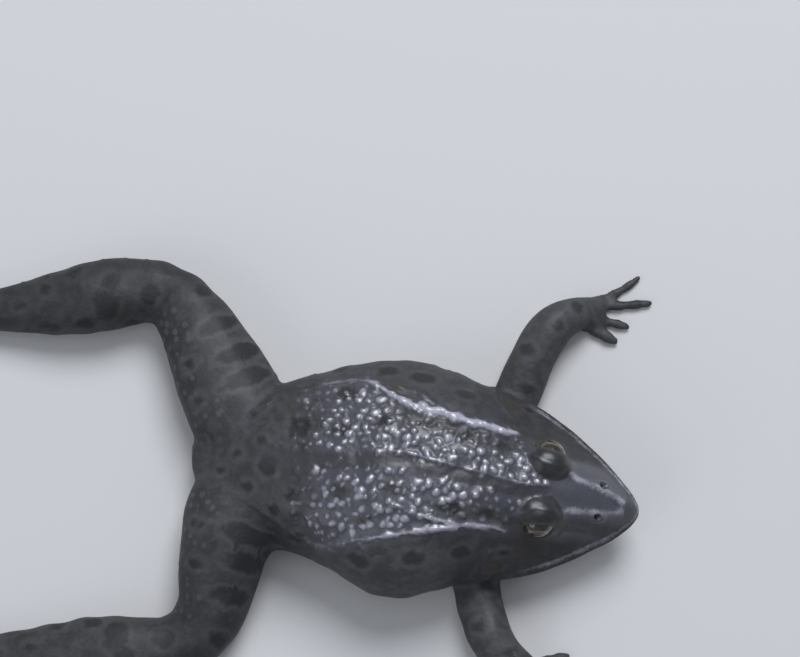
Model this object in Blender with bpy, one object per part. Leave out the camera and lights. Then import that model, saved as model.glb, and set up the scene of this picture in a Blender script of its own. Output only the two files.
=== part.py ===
"""Leopard frog, life size, lying on its belly with its limbs spread.

Sizes below are in millimetres. They are measured in the frog's own frame: +X runs along the back
to the snout, +Y to the frog's left, +Z up, and Z = 0 is the level it lies on. At the end the whole
model is moved so that its origin is at the middle of its base.
"""

import bpy
import bmesh
import numpy as np
from mathutils import Matrix, Vector

for old in list(bpy.data.objects):
    bpy.data.objects.remove(old, do_unlink=True)

MM = 0.001
GAP = 0.3                 # clear width of every cut between two nodes
FAR = 200.0               # further out than any part of the frog
UP = np.array((0.0, 0.0, 1.0))

# Head and torso, station by station from the vent to the tip of the snout.
SPINE_X = (-40.8, -38.6, -34.0, -26.0, -17.0, -4.0, 6.0, 11.0, 17.0, 23.0, 28.5, 33.5, 37.2, 39.3, 40.2)
CENTRE_Y = (0.3, 0.3, 0.2, -0.2, 0.0, -1.5, -1.2, -1.1, -1.7, -2.1, -2.7, -3.4, -4.1, -4.4, -4.5)
HALF_WIDTH = (2.2, 5.6, 9.5, 14.2, 17.2, 21.4, 19.6, 17.8, 16.6, 14.6, 11.5, 8.0, 4.8, 2.5, 0.8)
TOP_Z = (7.2, 9.8, 13.8, 18.0, 21.0, 23.4, 23.5, 22.8, 21.4, 19.7, 17.9, 15.6, 13.6, 12.1, 10.8)
SIDE_Z = (5.2, 5.5, 6.2, 7.2, 8.3, 9.5, 9.6, 9.4, 9.1, 8.8, 8.7, 8.8, 9.0, 9.2, 9.3)
LOW_Z = (3.6, 1.9, 0.3, -0.5, -0.8, -0.8, -0.7, -0.5, 0.3, 1.8, 3.4, 5.0, 6.5, 7.6, 8.4)
BACK_SPAN = (2.2, 2.2, 2.2, 2.2, 2.2, 2.3, 2.3, 2.2, 2.0, 1.9, 1.9, 1.9, 1.9, 1.9, 1.9)
BACK_LIFT = (0.5, 0.5, 0.48, 0.46, 0.46, 0.46, 0.48, 0.55, 0.85, 1.05, 1.05, 1.0, 0.9, 0.75, 0.6)
BELLY_SPAN = 2.6
NECK_X = 11.4
BODY_SIDES = 32
TORSO_RINGS = 26
HEAD_RINGS = 21
NECK_LAP = 3.0            # how far head and torso run past the neck before they are cut

# The head points a little to the frog's right. EYE_MIDDLE is the point between the two eyes.
HEAD_TURN = np.radians(-7.0)
EYE_MIDDLE = np.array((22.8, -2.6, 16.9))
EYE_APART = 10.2
EYE_RADIUS = 3.4
SOCKET_RADIUS = EYE_RADIUS + GAP
LID_RADIUS = 4.3
LID_OPENING = (3.0, 2.2, 2.4)     # half length, half height and half depth of the opening
LID_OPENING_OUT = 3.4             # how far out of the eye's middle the opening is centred
GAZE = (0.16, 0.90, 0.36)         # forward, outward and up
MOUTH_CORNER_X = 15.0
MOUTH_DROP = 0.45
MOUTH_GROOVE = (0.85, 0.28)       # depth and half height
LIP_INSET, LIP_LIFT = 0.3, 0.75   # where the lip's ridge runs, in from the edge and above it
LIP_RIDGE = (0.62, 0.75)          # half thickness and half height
LIP_END = 0.4                     # how far behind the tip of the snout the lip's line turns back
LIP_RINGS, LIP_SIDES = 33, 6
NOSTRIL_AHEAD = 10.2
NOSTRIL_APART = 5.8
NOSTRIL_FACING = (0.35, 0.55)     # forward and outward, for one upward
NOSTRIL_RIM = (1.25, 0.95, 0.55)
NOSTRIL_PIT = (0.75, 0.5, 0.95)
NOSTRIL_PIT_OUT = 0.55
CANTHUS = ((2.2, 4.0), (5.5, 3.2), (9.0, 2.6), (12.5, 1.7), (15.0, 0.8))   # ahead of the eyes, and aside
EARDRUM = (15.6, 13.2, 2.1)       # place along X, height and radius
EARDRUM_SKEW = 0.8                # how much further forward the left one lies, as the head is turned
EARDRUM_PROFILE = (
    (1.16, -0.9), (1.1, 0.02), (0.97, 0.2), (0.84, 0.14), (0.74, 0.04), (0.3, 0.09), (0.1, 0.12),
)

# Folds of skin, as (x, y) seen from above, from the rump forwards.
FOLD_LEFT = (
    (-35.0, 4.6), (-27.0, 9.4), (-17.0, 13.0), (-8.0, 14.2),
    (-3.0, 11.6), (3.5, 9.4), (10.0, 7.6), (19.5, 6.8),
)
FOLD_RIGHT = (
    (-34.5, -4.6), (-26.0, -10.2), (-15.7, -15.2), (-6.0, -13.6), (4.0, -11.6), (12.0, -10.4), (18.6, -11.0),
)
FOLD_INNER = ((-5.0, -7.6), (-1.0, -8.7), (5.5, -10.1))
FOLD_SIZE = (0.95, 0.8, 0.2)      # half width, half height, and how deep its middle lies
FOLD_INSET = 1.0                  # how far inside the ends of its line a fold stops
FOLD_RINGS, SHORT_FOLD_RINGS = 26, 9
CANTHUS_SIZE = (1.2, 0.9, 0.45)

# Limbs as stations of (x, y, z, half width, half height).
LEG_LEFT = (
    (-26.0, 1.5, 8.6, 6.6, 6.4), (-32.4, 8.8, 7.2, 9.0, 7.5), (-36.4, 15.4, 6.9, 8.7, 7.3),
    (-40.0, 21.6, 6.5, 7.5, 6.8), (-43.2, 26.4, 6.0, 6.4, 6.3), (-46.4, 29.3, 5.5, 5.8, 5.8),
    (-50.6, 30.5, 5.4, 5.8, 5.7), (-55.0, 30.0, 5.5, 6.3, 5.8), (-60.0, 28.8, 5.5, 6.6, 5.8),
    (-67.2, 27.2, 5.0, 5.9, 5.3), (-78.0, 25.4, 3.7, 3.9, 4.0), (-85.0, 24.2, 3.0, 3.1, 3.2),
    (-89.0, 24.4, 2.8, 3.3, 3.0), (-93.0, 25.8, 2.6, 3.0, 2.8), (-100.0, 28.7, 2.2, 2.5, 2.4),
    (-107.0, 31.2, 1.9, 3.1, 2.1), (-112.0, 32.0, 1.7, 4.1, 1.85),
)
LEG_RIGHT = (
    (-26.0, -1.5, 8.6, 6.6, 6.4), (-31.6, -8.6, 7.2, 9.0, 7.5), (-33.2, -15.2, 6.9, 8.2, 7.3),
    (-34.0, -21.4, 6.5, 7.2, 6.8), (-34.9, -27.0, 6.0, 6.3, 6.3), (-37.4, -31.6, 5.5, 5.8, 5.8),
    (-41.6, -34.4, 5.4, 5.8, 5.7), (-46.4, -35.4, 5.5, 6.3, 5.8), (-51.2, -35.8, 5.5, 6.6, 5.8),
    (-58.6, -36.2, 5.0, 5.9, 5.3), (-69.6, -37.0, 3.7, 3.9, 4.0), (-76.6, -37.5, 3.0, 3.1, 3.2),
    (-80.4, -38.4, 2.8, 3.3, 3.0), (-84.4, -40.3, 2.6, 3.0, 2.8), (-91.0, -43.4, 2.2, 2.5, 2.4),
    (-98.0, -46.0, 1.9, 3.1, 2.1), (-103.0, -47.0, 1.7, 4.1, 1.85),
)
KNEE_STATION, HEEL_STATION, ANKLE_STATION = 5.5, 12, 15
HIP_POINTS = {"left": (-25.6, 14.0), "right": (-24.2, -13.8)}
HIP_FACING = {"left": (-0.60, 0.80), "right": (-0.55, -0.835)}

ARM_LEFT = (
    (9.0, 4.5, 5.0, 4.4, 3.8), (13.4, 9.2, 3.6, 4.4, 3.6), (17.2, 15.4, 3.3, 4.3, 3.5),
    (20.2, 23.6, 4.2, 4.1, 3.9), (23.6, 29.4, 4.9, 3.8, 3.8), (27.4, 31.9, 3.9, 3.1, 3.0),
    (30.2, 33.0, 2.2, 2.8, 1.9), (32.4, 33.5, 1.25, 2.9, 1.3),
)
ARM_RIGHT = (
    (6.5, -5.5, 5.0, 4.4, 3.8), (9.2, -10.6, 3.6, 4.4, 3.6), (11.6, -16.6, 3.3, 4.3, 3.5),
    (13.9, -24.6, 4.2, 4.1, 3.9), (17.2, -30.6, 4.9, 3.8, 3.8), (21.2, -33.4, 3.9, 3.1, 3.0),
    (24.2, -34.8, 2.2, 2.8, 1.9), (26.4, -35.6, 1.25, 2.9, 1.3),
)
SHOULDER_STATION, ELBOW_STATION, WRIST_STATION = 2.55, 4, 5.4
LIMB_SIDES = 16

# Each digit from the inner to the outer one: direction from the limb's own line and bend along its
# length, both in degrees towards the outer side, then length, radius at root and tip, and how far
# its root lies behind the limb's end.
FINGERS = (
    (-38.0, 0.0, 6.8, 1.2, 0.95, 3.4), (-27.0, 4.0, 7.4, 1.0, 0.8, 2.0),
    (-5.0, 2.0, 9.6, 0.95, 0.75, 0.0), (8.0, 28.0, 9.0, 0.85, 0.65, 0.0),
)
TOES = (
    (-31.0, -6.0, 16.0, 1.2, 0.75, 0.0), (-18.0, -6.0, 23.0, 1.3, 0.75, 0.0),
    (-6.0, -3.0, 31.5, 1.4, 0.8, 0.0), (6.0, 2.0, 39.5, 1.5, 0.8, 0.0), (18.5, 6.0, 30.5, 1.3, 0.75, 0.0),
)
WEB_REACH = (0.90, 0.84, 0.78, 0.58, 0.84)   # share of each toe that the web reaches
DIGIT_ROOT_SPACING = {"hand": 1.5, "foot": 1.25}
DIGIT_ROOT_DEPTH = 2.0
DIGIT_RINGS = 10
DIGIT_SIDES = 8
DIGIT_SINK = 0.12         # how much of a digit's underside is flattened by the floor
WEB_THICKNESS = 0.6
WEB_HEIGHT = 0.75
WEB_NOTCH = 0.30
LIMB_SETS = (("left", LEG_LEFT, ARM_LEFT), ("right", LEG_RIGHT, ARM_RIGHT))

SKIN = (0.055, 0.058, 0.052)
SKIN_PALE = (0.10, 0.10, 0.105)
EYE_COLOUR = (0.02, 0.018, 0.015)


def smooth(at, stations, values):
    """Cubic curve through the stations, its slope at each one the mean of the slopes on both sides."""
    stations = np.asarray(stations, float)
    values = np.asarray(values, float)
    steps = np.diff(values, axis=0)
    spans = np.diff(stations)
    rates = steps / (spans if values.ndim == 1 else spans[:, None])
    slopes = np.concatenate((rates[:1], 0.5 * (rates[:-1] + rates[1:]), rates[-1:]))
    at = np.clip(np.asarray(at, float), stations[0], stations[-1])
    low = np.clip(np.searchsorted(stations, at, side="right") - 1, 0, len(spans) - 1)
    span = spans[low]
    t = (at - stations[low]) / span
    if values.ndim > 1:
        t, span = t[..., None], span[..., None]
    return (
        (2 * t**3 - 3 * t**2 + 1) * values[low]
        + (t**3 - 2 * t**2 + t) * span * slopes[low]
        + (3 * t**2 - 2 * t**3) * values[low + 1]
        + (t**3 - t**2) * span * slopes[low + 1]
    )


def unit(vectors):
    return vectors / np.linalg.norm(vectors, axis=-1, keepdims=True)


def solid(name, points, faces):
    """A mesh object from points in millimetres, with its faces turned outwards."""
    mesh = bpy.data.meshes.new(name)
    mesh.from_pydata((np.asarray(points) * MM).tolist(), [], faces)
    bm = bmesh.new()
    bm.from_mesh(mesh)
    bmesh.ops.recalc_face_normals(bm, faces=bm.faces)
    bm.to_mesh(mesh)
    bm.free()
    made = bpy.data.objects.new(name, mesh)
    bpy.context.scene.collection.objects.link(made)
    return made


def loft(name, rings):
    """Closed solid over an array of rings, each end closed by one flat face."""
    count, sides = rings.shape[:2]
    index = np.arange(count * sides).reshape(count, sides)
    after = np.roll(index, -1, axis=1)
    quads = np.stack((index[:-1], after[:-1], after[1:], index[1:]), axis=-1).reshape(-1, 4)
    faces = quads.tolist() + [index[0][::-1].tolist(), index[-1].tolist()]
    return solid(name, rings.reshape(-1, 3), faces)


def ellipsoid(name, centre, half_axes, axes, segments=18, rings=10):
    """Ellipsoid with its three half axes along the three unit vectors given."""
    bm = bmesh.new()
    bmesh.ops.create_uvsphere(bm, u_segments=segments, v_segments=rings, radius=1.0)
    turn = np.array(axes).T * np.asarray(half_axes)
    points = np.array([vertex.co for vertex in bm.verts]) @ turn.T + centre
    faces = [[vertex.index for vertex in face.verts] for face in bm.faces]
    bm.free()
    return solid(name, points, faces)


def evaluated(obj):
    """Replaces an object's mesh by the one its modifiers give."""
    graph = bpy.context.evaluated_depsgraph_get()
    mesh = bpy.data.meshes.new_from_object(obj.evaluated_get(graph))
    obj.modifiers.clear()
    obj.data = mesh


def keep_largest(obj):
    """Drops every closed surface but the largest."""
    bm = bmesh.new()
    bm.from_mesh(obj.data)
    left = set(bm.faces)
    shells = []
    while left:
        shell = {left.pop()}
        edge = list(shell)
        while edge:
            near = {other for face in edge for side in face.edges for other in side.link_faces} - shell
            shell |= near
            edge = list(near)
        left -= shell
        shells.append(shell)
    shells.sort(key=lambda shell: sum(face.calc_area() for face in shell))
    spare = [face for shell in shells[:-1] for face in shell]
    bmesh.ops.delete(bm, geom=spare, context="FACES")
    bm.to_mesh(obj.data)
    bm.free()


def combine(base, others, operation, solver="EXACT"):
    """One Boolean of the base with all the others, which are then removed."""
    group = bpy.data.collections.new(base.name + "_others")
    bpy.context.scene.collection.children.link(group)
    for other in others:
        for old_home in list(other.users_collection):
            old_home.objects.unlink(other)
        group.objects.link(other)
    step = base.modifiers.new(operation.lower(), "BOOLEAN")
    step.operand_type = "COLLECTION"
    step.collection = group
    step.operation = operation
    step.solver = solver
    bpy.context.view_layer.update()
    evaluated(base)
    for other in others:
        bpy.data.objects.remove(other, do_unlink=True)
    bpy.data.collections.remove(group)
    keep_largest(base)
    return base


def block(name, low, high):
    """Plain box between two corners."""
    corners = [(x, y, z) for x in (low[0], high[0]) for y in (low[1], high[1]) for z in (low[2], high[2])]
    faces = [(0, 1, 3, 2), (4, 6, 7, 5), (0, 4, 5, 1), (2, 3, 7, 6), (0, 2, 6, 4), (1, 5, 7, 3)]
    return solid(name, corners, faces)


def floor_cutter():
    """Everything under the level that the frog lies on."""
    return block("floor_cutter", (-FAR, -FAR, -FAR), (FAR, FAR, 0.0))


def half_space(name, point, facing):
    """A large box on the side of an upright plane that its facing direction points to."""
    made = block(name, (0.0, -FAR, -FAR), (FAR, FAR, FAR))
    turn = Matrix.Rotation(np.arctan2(facing[1], facing[0]), 4, "Z")
    place = Matrix.Translation(Vector((point[0] * MM, point[1] * MM, 0.0)))
    made.data.transform(place @ turn)
    return made


def body_values(x):
    """Centre, half width, top, side and low height, and the two back exponents, at each x."""
    columns = (CENTRE_Y, HALF_WIDTH, TOP_Z, SIDE_Z, LOW_Z, BACK_SPAN, BACK_LIFT)
    return [smooth(x, SPINE_X, column) for column in columns]


def back_height(x, y):
    """Height of the back over a point seen from above: the profile falls from the midline to the side
    as (1 - q ** span) ** lift, where q is the distance from the midline over the half width."""
    centre, width, top, side, _, span, lift = body_values(x)
    q = np.clip(np.abs(np.asarray(y) - centre) / width, 0.0, 1.0)
    return side + (top - side) * (1.0 - q**span) ** lift


def body_rings(x):
    """Rings round the body, one for each x: the back above its widest line, a flatter curve below."""
    angle = np.linspace(0.0, 2.0 * np.pi, BODY_SIDES, endpoint=False)
    across = np.sign(np.cos(angle)) * np.abs(np.cos(angle)) ** 0.92
    q = np.abs(across)[None, :]
    centre, width, top, side, low, span, lift = [column[:, None] for column in body_values(x)]
    above = side + (top - side) * (1.0 - q**span) ** lift
    below = side - (side - low) * (1.0 - q**BELLY_SPAN) ** (1.0 / BELLY_SPAN)
    z = np.where(np.sin(angle)[None, :] >= -1e-9, above, below)
    y = centre + width * across[None, :]
    return np.stack(np.broadcast_arrays(x[:, None], y, z), axis=-1)


def spread(start, stop, count, ease=1.0):
    """Values from start to stop that close up towards stop as ease grows past 1."""
    t = np.linspace(0.0, 1.0, count)
    return start + (stop - start) * (1.0 - (1.0 - t) ** ease)


def stations_along(stations):
    """Running length at each station of a limb."""
    rows = np.asarray(stations, float)
    return np.concatenate(([0.0], np.cumsum(np.linalg.norm(np.diff(rows[:, :3], axis=0), axis=1))))


def limb_rings(stations, at, sides=LIMB_SIDES):
    """Elliptical rings square to a limb's curved line, at the running lengths given."""
    length = stations_along(stations)
    row = smooth(at, length, stations)
    step = 0.05
    ahead = smooth(np.asarray(at) + step, length, stations)[:, :3]
    behind = smooth(np.asarray(at) - step, length, stations)[:, :3]
    along = unit(ahead - behind)
    across = unit(np.cross(UP, along))
    lift = np.cross(along, across)
    angle = np.linspace(0.0, 2.0 * np.pi, sides, endpoint=False)[None, :, None]
    rings = (
        row[:, None, :3]
        + row[:, None, 3:4] * np.cos(angle) * across[:, None]
        + row[:, None, 4:5] * np.sin(angle) * lift[:, None]
    )
    return rings, along


def limb_piece(name, stations, start, stop, count, sides=LIMB_SIDES):
    """The part of a limb between two running lengths. Each end keeps half a gap from its cut."""
    rings, along = limb_rings(stations, np.linspace(start, stop, count), sides)
    rings[0] += 0.5 * GAP * along[0]
    rings[-1] -= 0.5 * GAP * along[-1]
    return loft(name, rings)


def station_length(stations, station):
    """Running length at a station number, which may be a fraction."""
    length = stations_along(stations)
    return float(np.interp(station, np.arange(len(length)), length))


def tapered_rod(name, path, across, half_across, half_up, sides=DIGIT_SIDES):
    """Rod along a path with an elliptical section and round ends."""
    path = np.asarray(path, float)
    along = unit(np.gradient(path, axis=0))
    across = unit(across - np.sum(across * along, axis=1, keepdims=True) * along)
    lift = np.cross(along, across)
    angle = np.linspace(0.0, 2.0 * np.pi, sides, endpoint=False)[None, :, None]
    rings = (
        path[:, None]
        + half_across[:, None, None] * np.cos(angle) * across[:, None]
        + half_up[:, None, None] * np.sin(angle) * lift[:, None]
    )
    return loft(name, rings)


def round_ends(count, tip=0.35):
    """Thickness factors along a rod: 1 in the middle, falling off round at both ends."""
    t = np.linspace(-1.0, 1.0, count)
    return tip + (1.0 - tip) * np.sqrt(1.0 - np.abs(t) ** 8)


def fold(name, course, start_x, stop_x, count, size=FOLD_SIZE):
    """Raised fold of skin that follows the back under a line drawn from above. The first value of its
    size is the half width, the second the half height, and the third how deep its middle lies."""
    points = np.asarray(course)
    x = np.linspace(start_x, stop_x, count)
    y = smooth(x, points[:, 0], points[:, 1])
    path = np.stack((x, y, back_height(x, y)), axis=1)
    step = 0.4
    slope_y = (back_height(x, y + step) - back_height(x, y - step)) / (2 * step)
    across = unit(np.stack((np.zeros(count), np.ones(count), slope_y), axis=1))
    outward = unit(np.stack((np.zeros(count), -slope_y, np.ones(count)), axis=1))
    path -= size[2] * outward
    taper = round_ends(count)
    return tapered_rod(name, path, across, size[0] * taper, size[1] * taper, 8)


def head_axes():
    """Unit vectors of the head: forwards, to its left, and up."""
    forward = np.array((np.cos(HEAD_TURN), np.sin(HEAD_TURN), 0.0))
    left = np.array((-np.sin(HEAD_TURN), np.cos(HEAD_TURN), 0.0))
    return forward, left, UP


def eye_centre(side):
    return EYE_MIDDLE + side * 0.5 * EYE_APART * head_axes()[1]


def gaze_axes(side):
    """Unit vectors of one eye: along its opening, up across it, and out of it."""
    forward, left, up = head_axes()
    out = unit(GAZE[0] * forward + side * GAZE[1] * left + GAZE[2] * up)
    along = unit(forward - np.dot(forward, out) * out)
    return along, np.cross(out, along), out


def lip_path(inset, drop, count):
    """Line round the snout from one corner of the mouth to the other, just under the lip's edge."""
    x = spread(MOUTH_CORNER_X, SPINE_X[-1] - LIP_END, 60, 2.2)
    centre, width, _, side, _, _, _ = body_values(x)
    left = np.stack((x, centre + (width - inset), side - drop), axis=1)
    right = np.stack((x, centre - (width - inset), side - drop), axis=1)
    line = np.concatenate((left, right[::-1]))
    length = np.concatenate(([0.0], np.cumsum(np.linalg.norm(np.diff(line, axis=0), axis=1))))
    even = np.linspace(0.0, length[-1], count)
    return np.stack([np.interp(even, length, line[:, k]) for k in range(3)], axis=1)


def lip_rod(name, inset, drop, half_out, half_up):
    """Rod along the lip's line, with its first axis pointing out of the head."""
    path = lip_path(inset, drop, LIP_RINGS)
    along = unit(np.gradient(path, axis=0))
    outward = unit(np.cross(along, UP))
    size = round_ends(LIP_RINGS, 0.5)
    return tapered_rod(name, path, outward, half_out * size, half_up * size, LIP_SIDES)


def surface_frame(x, z, side):
    """Point on the side of the head at a height, with unit vectors along it, up it and out of it."""
    def on_skin(px, pz):
        centre, width, top, edge, _, span, lift = [float(v) for v in body_values(px)]
        rise = np.clip((pz - edge) / (top - edge), 0.0, 1.0)
        return np.array((px, centre + side * width * (1.0 - rise ** (1.0 / lift)) ** (1.0 / span), pz))
    here = on_skin(x, z)
    along = unit(on_skin(x + 0.5, z) - on_skin(x - 0.5, z))
    rise = on_skin(x, z + 0.5) - on_skin(x, z - 0.5)
    out = unit(np.cross(along, rise)) * side
    return here, along, np.cross(out, along), out


def turned(name, frame, profile, segments=16):
    """Solid turned about a surface's own outward line, from (radius, height) pairs."""
    here, along, rise, out = frame
    radius, height = np.array(profile).T
    angle = np.linspace(0.0, 2.0 * np.pi, segments, endpoint=False)[None, :, None]
    rings = here + radius[:, None, None] * (np.cos(angle) * along + np.sin(angle) * rise)
    rings = rings + height[:, None, None] * out
    return loft(name, rings)


def finish(obj, colour, roughness):
    """The object's own material, and smooth shading but for sharp edges."""
    material = bpy.data.materials.new(obj.name)
    material.use_nodes = True
    shader = material.node_tree.nodes["Principled BSDF"]
    shader.inputs["Base Color"].default_value = (*colour, 1.0)
    shader.inputs["Roughness"].default_value = roughness
    shader.inputs["Metallic"].default_value = 0.0
    obj.data.materials.clear()
    obj.data.materials.append(material)
    obj.data.shade_smooth()
    obj.data.set_sharp_from_angle(angle=np.radians(40.0))


def body_core(name, start_x, stop_x, count):
    """Head or torso without limbs, its rings closer together towards the two tips."""
    share = np.linspace(0.0, 1.0, 400)
    x = start_x + (stop_x - start_x) * share
    density = 1.0 + 2.2 * np.exp(-((x - SPINE_X[0]) / 5.0)) + 2.2 * np.exp(-((SPINE_X[-1] - x) / 5.0))
    mass = np.concatenate(([0.0], np.cumsum(0.5 * (density[1:] + density[:-1]))))
    return loft(name, body_rings(np.interp(np.linspace(0.0, mass[-1], count), mass, x)))


def make_torso():
    torso = body_core("torso", SPINE_X[0], NECK_X + NECK_LAP, TORSO_RINGS)
    past_neck = NECK_X + NECK_LAP + FOLD_INSET
    folds = [
        fold("fold_left", FOLD_LEFT, FOLD_LEFT[0][0] + FOLD_INSET, past_neck, FOLD_RINGS),
        fold("fold_right", FOLD_RIGHT, FOLD_RIGHT[0][0] + FOLD_INSET, past_neck, FOLD_RINGS),
        fold("fold_inner", FOLD_INNER, FOLD_INNER[0][0], FOLD_INNER[-1][0], SHORT_FOLD_RINGS),
    ]
    combine(torso, folds, "UNION")
    neck = half_space("neck_cutter", (NECK_X - 0.5 * GAP, 0.0), (1.0, 0.0))
    combine(torso, [neck], "DIFFERENCE")
    roots = []
    cutters = [floor_cutter()]
    for side, leg, arm in LIMB_SETS:
        roots.append(limb_piece("hip_root_" + side, leg, 0.0, station_length(leg, 3), 10))
        roots.append(limb_piece("arm_root_" + side, arm, 0.0, station_length(arm, SHOULDER_STATION), 10))
        facing = unit(np.array(HIP_FACING[side]))
        cutters.append(half_space("hip_cutter_" + side, HIP_POINTS[side] - 0.5 * GAP * facing, facing))
    combine(torso, roots, "UNION")
    combine(torso, cutters, "DIFFERENCE")
    finish(torso, SKIN, 0.35)


def make_head():
    """Head with its lips, lids, nostrils and eardrums, cut by the mouth's line."""
    forward, left, up = head_axes()
    head = body_core("head", NECK_X - NECK_LAP, SPINE_X[-1], HEAD_RINGS)
    behind_neck = NECK_X - NECK_LAP - FOLD_INSET
    pieces = [
        fold("fold_left", FOLD_LEFT, behind_neck, FOLD_LEFT[-1][0], SHORT_FOLD_RINGS),
        fold("fold_right", FOLD_RIGHT, behind_neck, FOLD_RIGHT[-1][0], SHORT_FOLD_RINGS),
        lip_rod("lip_ridge", LIP_INSET, -LIP_LIFT, *LIP_RIDGE),
    ]
    cutters = [
        floor_cutter(),
        half_space("neck_cutter", (NECK_X + 0.5 * GAP, 0.0), (-1.0, 0.0)),
        lip_rod("mouth_cutter", 0.0, MOUTH_DROP, *MOUTH_GROOVE),
    ]
    for (name, _, arm), side in zip(LIMB_SETS, (1, -1)):
        centre = eye_centre(side)
        along, rise, out = gaze_axes(side)
        axes = (along, rise, out)
        pieces.append(ellipsoid("lids_" + name, centre, [LID_RADIUS] * 3, axes))
        cutters.append(ellipsoid("socket_" + name, centre, [SOCKET_RADIUS] * 3, axes))
        cutters.append(ellipsoid("opening_" + name, centre + LID_OPENING_OUT * out, LID_OPENING, axes))
        canthus = [(EYE_MIDDLE + a * forward + side * b * left)[:2] for a, b in CANTHUS]
        ends = (canthus[0][0], canthus[-1][0])
        pieces.append(fold("canthus_" + name, canthus, *ends, SHORT_FOLD_RINGS, CANTHUS_SIZE))
        frame = surface_frame(EARDRUM[0] + side * EARDRUM_SKEW, EARDRUM[1], side)
        rim = [(radius * EARDRUM[2], height) for radius, height in EARDRUM_PROFILE]
        pieces.append(turned("eardrum_" + name, frame, rim))
        place = EYE_MIDDLE + NOSTRIL_AHEAD * forward + side * 0.5 * NOSTRIL_APART * left
        height = float(back_height(place[0], place[1]))
        here = np.array((place[0], place[1], height))
        tilt = unit(NOSTRIL_FACING[0] * forward + side * NOSTRIL_FACING[1] * left + up)
        ahead = unit(forward - np.dot(forward, tilt) * tilt)
        sides = (ahead, np.cross(tilt, ahead), tilt)
        pieces.append(ellipsoid("nostril_rim_" + name, here, NOSTRIL_RIM, sides, 10, 6))
        cutters.append(ellipsoid("nostril_" + name, here + NOSTRIL_PIT_OUT * tilt, NOSTRIL_PIT, sides, 8, 6))
        grown = np.array(arm)
        grown[:, 3:] += GAP
        cutters.append(limb_piece("arm_room_" + name, grown, 0.0, station_length(arm, 4), 12))
    combine(head, pieces, "UNION")
    combine(head, cutters, "DIFFERENCE")
    finish(head, SKIN, 0.35)


def make_eyes():
    for name, side in (("left", 1), ("right", -1)):
        eye = ellipsoid("eye_" + name, eye_centre(side), [EYE_RADIUS] * 3, gaze_axes(side), 20, 12)
        finish(eye, EYE_COLOUR, 0.08)


def make_thigh(name, stations):
    """Thigh from the hip cut to the knee, with the piece of rump that lies outside the cut."""
    facing = unit(np.array(HIP_FACING[name]))
    thigh = limb_piece("thigh_" + name, stations, 0.0, station_length(stations, KNEE_STATION), 20)
    rump = body_core("rump", SPINE_X[0], NECK_X, TORSO_RINGS)
    combine(thigh, [rump], "UNION")
    inner = half_space("hip_cutter", HIP_POINTS[name] + 0.5 * GAP * facing, -facing)
    combine(thigh, [inner, floor_cutter()], "DIFFERENCE")
    finish(thigh, SKIN, 0.4)


def make_segment(name, stations, first, last, count):
    """One length of a limb between two stations, flat where it lies on the floor."""
    start, stop = (station_length(stations, station) for station in (first, last))
    piece = limb_piece(name, stations, start, stop, count)
    combine(piece, [floor_cutter()], "DIFFERENCE")
    finish(piece, SKIN, 0.4)


def digit_path(stations, digit, slot, spacing, outer):
    """Centre line of a finger or toe from the limb's last station, bending evenly along its length."""
    start, bend, length, root, tip, set_back = digit
    end = np.array(stations[-1][:3])
    before = np.array(stations[-2][:3])
    heading = np.arctan2(end[1] - before[1], end[0] - before[0])
    share = np.linspace(0.0, 1.0, DIGIT_RINGS)
    angle = heading + outer * np.radians(start + bend * share)
    step = length / (DIGIT_RINGS - 1)
    x = np.concatenate(([0.0], np.cumsum(np.cos(angle[1:])))) * step
    y = np.concatenate(([0.0], np.cumsum(np.sin(angle[1:])))) * step
    aside = outer * slot * spacing
    radius = root + (tip - root) * share
    return np.stack((
        end[0] + x - aside * np.sin(heading) - set_back * np.cos(heading),
        end[1] + y + aside * np.cos(heading) - set_back * np.sin(heading),
        radius - DIGIT_SINK,
    ), axis=1), radius


def digit_rod(name, path, radius):
    """Finger or toe with a slight swelling at each joint and a round tip."""
    share = np.linspace(0.0, 1.0, len(path))
    knuckles = 1.0 + 0.10 * np.cos(2.0 * np.pi * 3.0 * share)
    tip = np.sqrt(np.clip(1.0 - share**14, 0.12, 1.0))
    across = np.cross(UP, unit(np.gradient(path, axis=0)))
    size = radius * knuckles * tip
    return tapered_rod(name, path, across, size, size)


def web(name, path_a, reach_a, path_b, reach_b):
    """Thin skin between two toes, with a curved notch in its free edge."""
    across = np.linspace(0.04, 0.96, 7)[None, :]
    along = np.linspace(0.06, 1.0, 9)[:, None]
    notch = 1.0 - WEB_NOTCH * 4.0 * across * (1.0 - across) * along
    share = np.arange(DIGIT_RINGS) / (DIGIT_RINGS - 1)
    sides = []
    for path, reach in ((path_a, reach_a), (path_b, reach_b)):
        at = along * reach * notch
        sides.append(np.stack([np.interp(at, share, path[:, k]) for k in range(3)], axis=-1))
    middle = sides[0] * (1.0 - across[..., None]) + sides[1] * across[..., None]
    middle[..., 2] = WEB_HEIGHT
    rows, columns = middle.shape[:2]
    lift = 0.5 * WEB_THICKNESS * UP
    points = np.concatenate(((middle + lift).reshape(-1, 3), (middle - lift).reshape(-1, 3)))
    index = np.arange(rows * columns).reshape(rows, columns)
    a, b, c, d = (part.ravel() for part in (index[:-1, :-1], index[:-1, 1:], index[1:, 1:], index[1:, :-1]))
    top = np.concatenate((np.stack((a, b, c), 1), np.stack((a, c, d), 1)))
    edge = np.concatenate((index[0], index[1:, -1], index[-1, -2::-1], index[-2:0:-1, 0]))
    under = rows * columns
    wall = np.stack((edge, np.roll(edge, -1), np.roll(edge, -1) + under, edge + under), axis=1)
    faces = top.tolist() + (top + under)[:, ::-1].tolist() + wall.tolist()
    return solid(name, points, faces)


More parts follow.
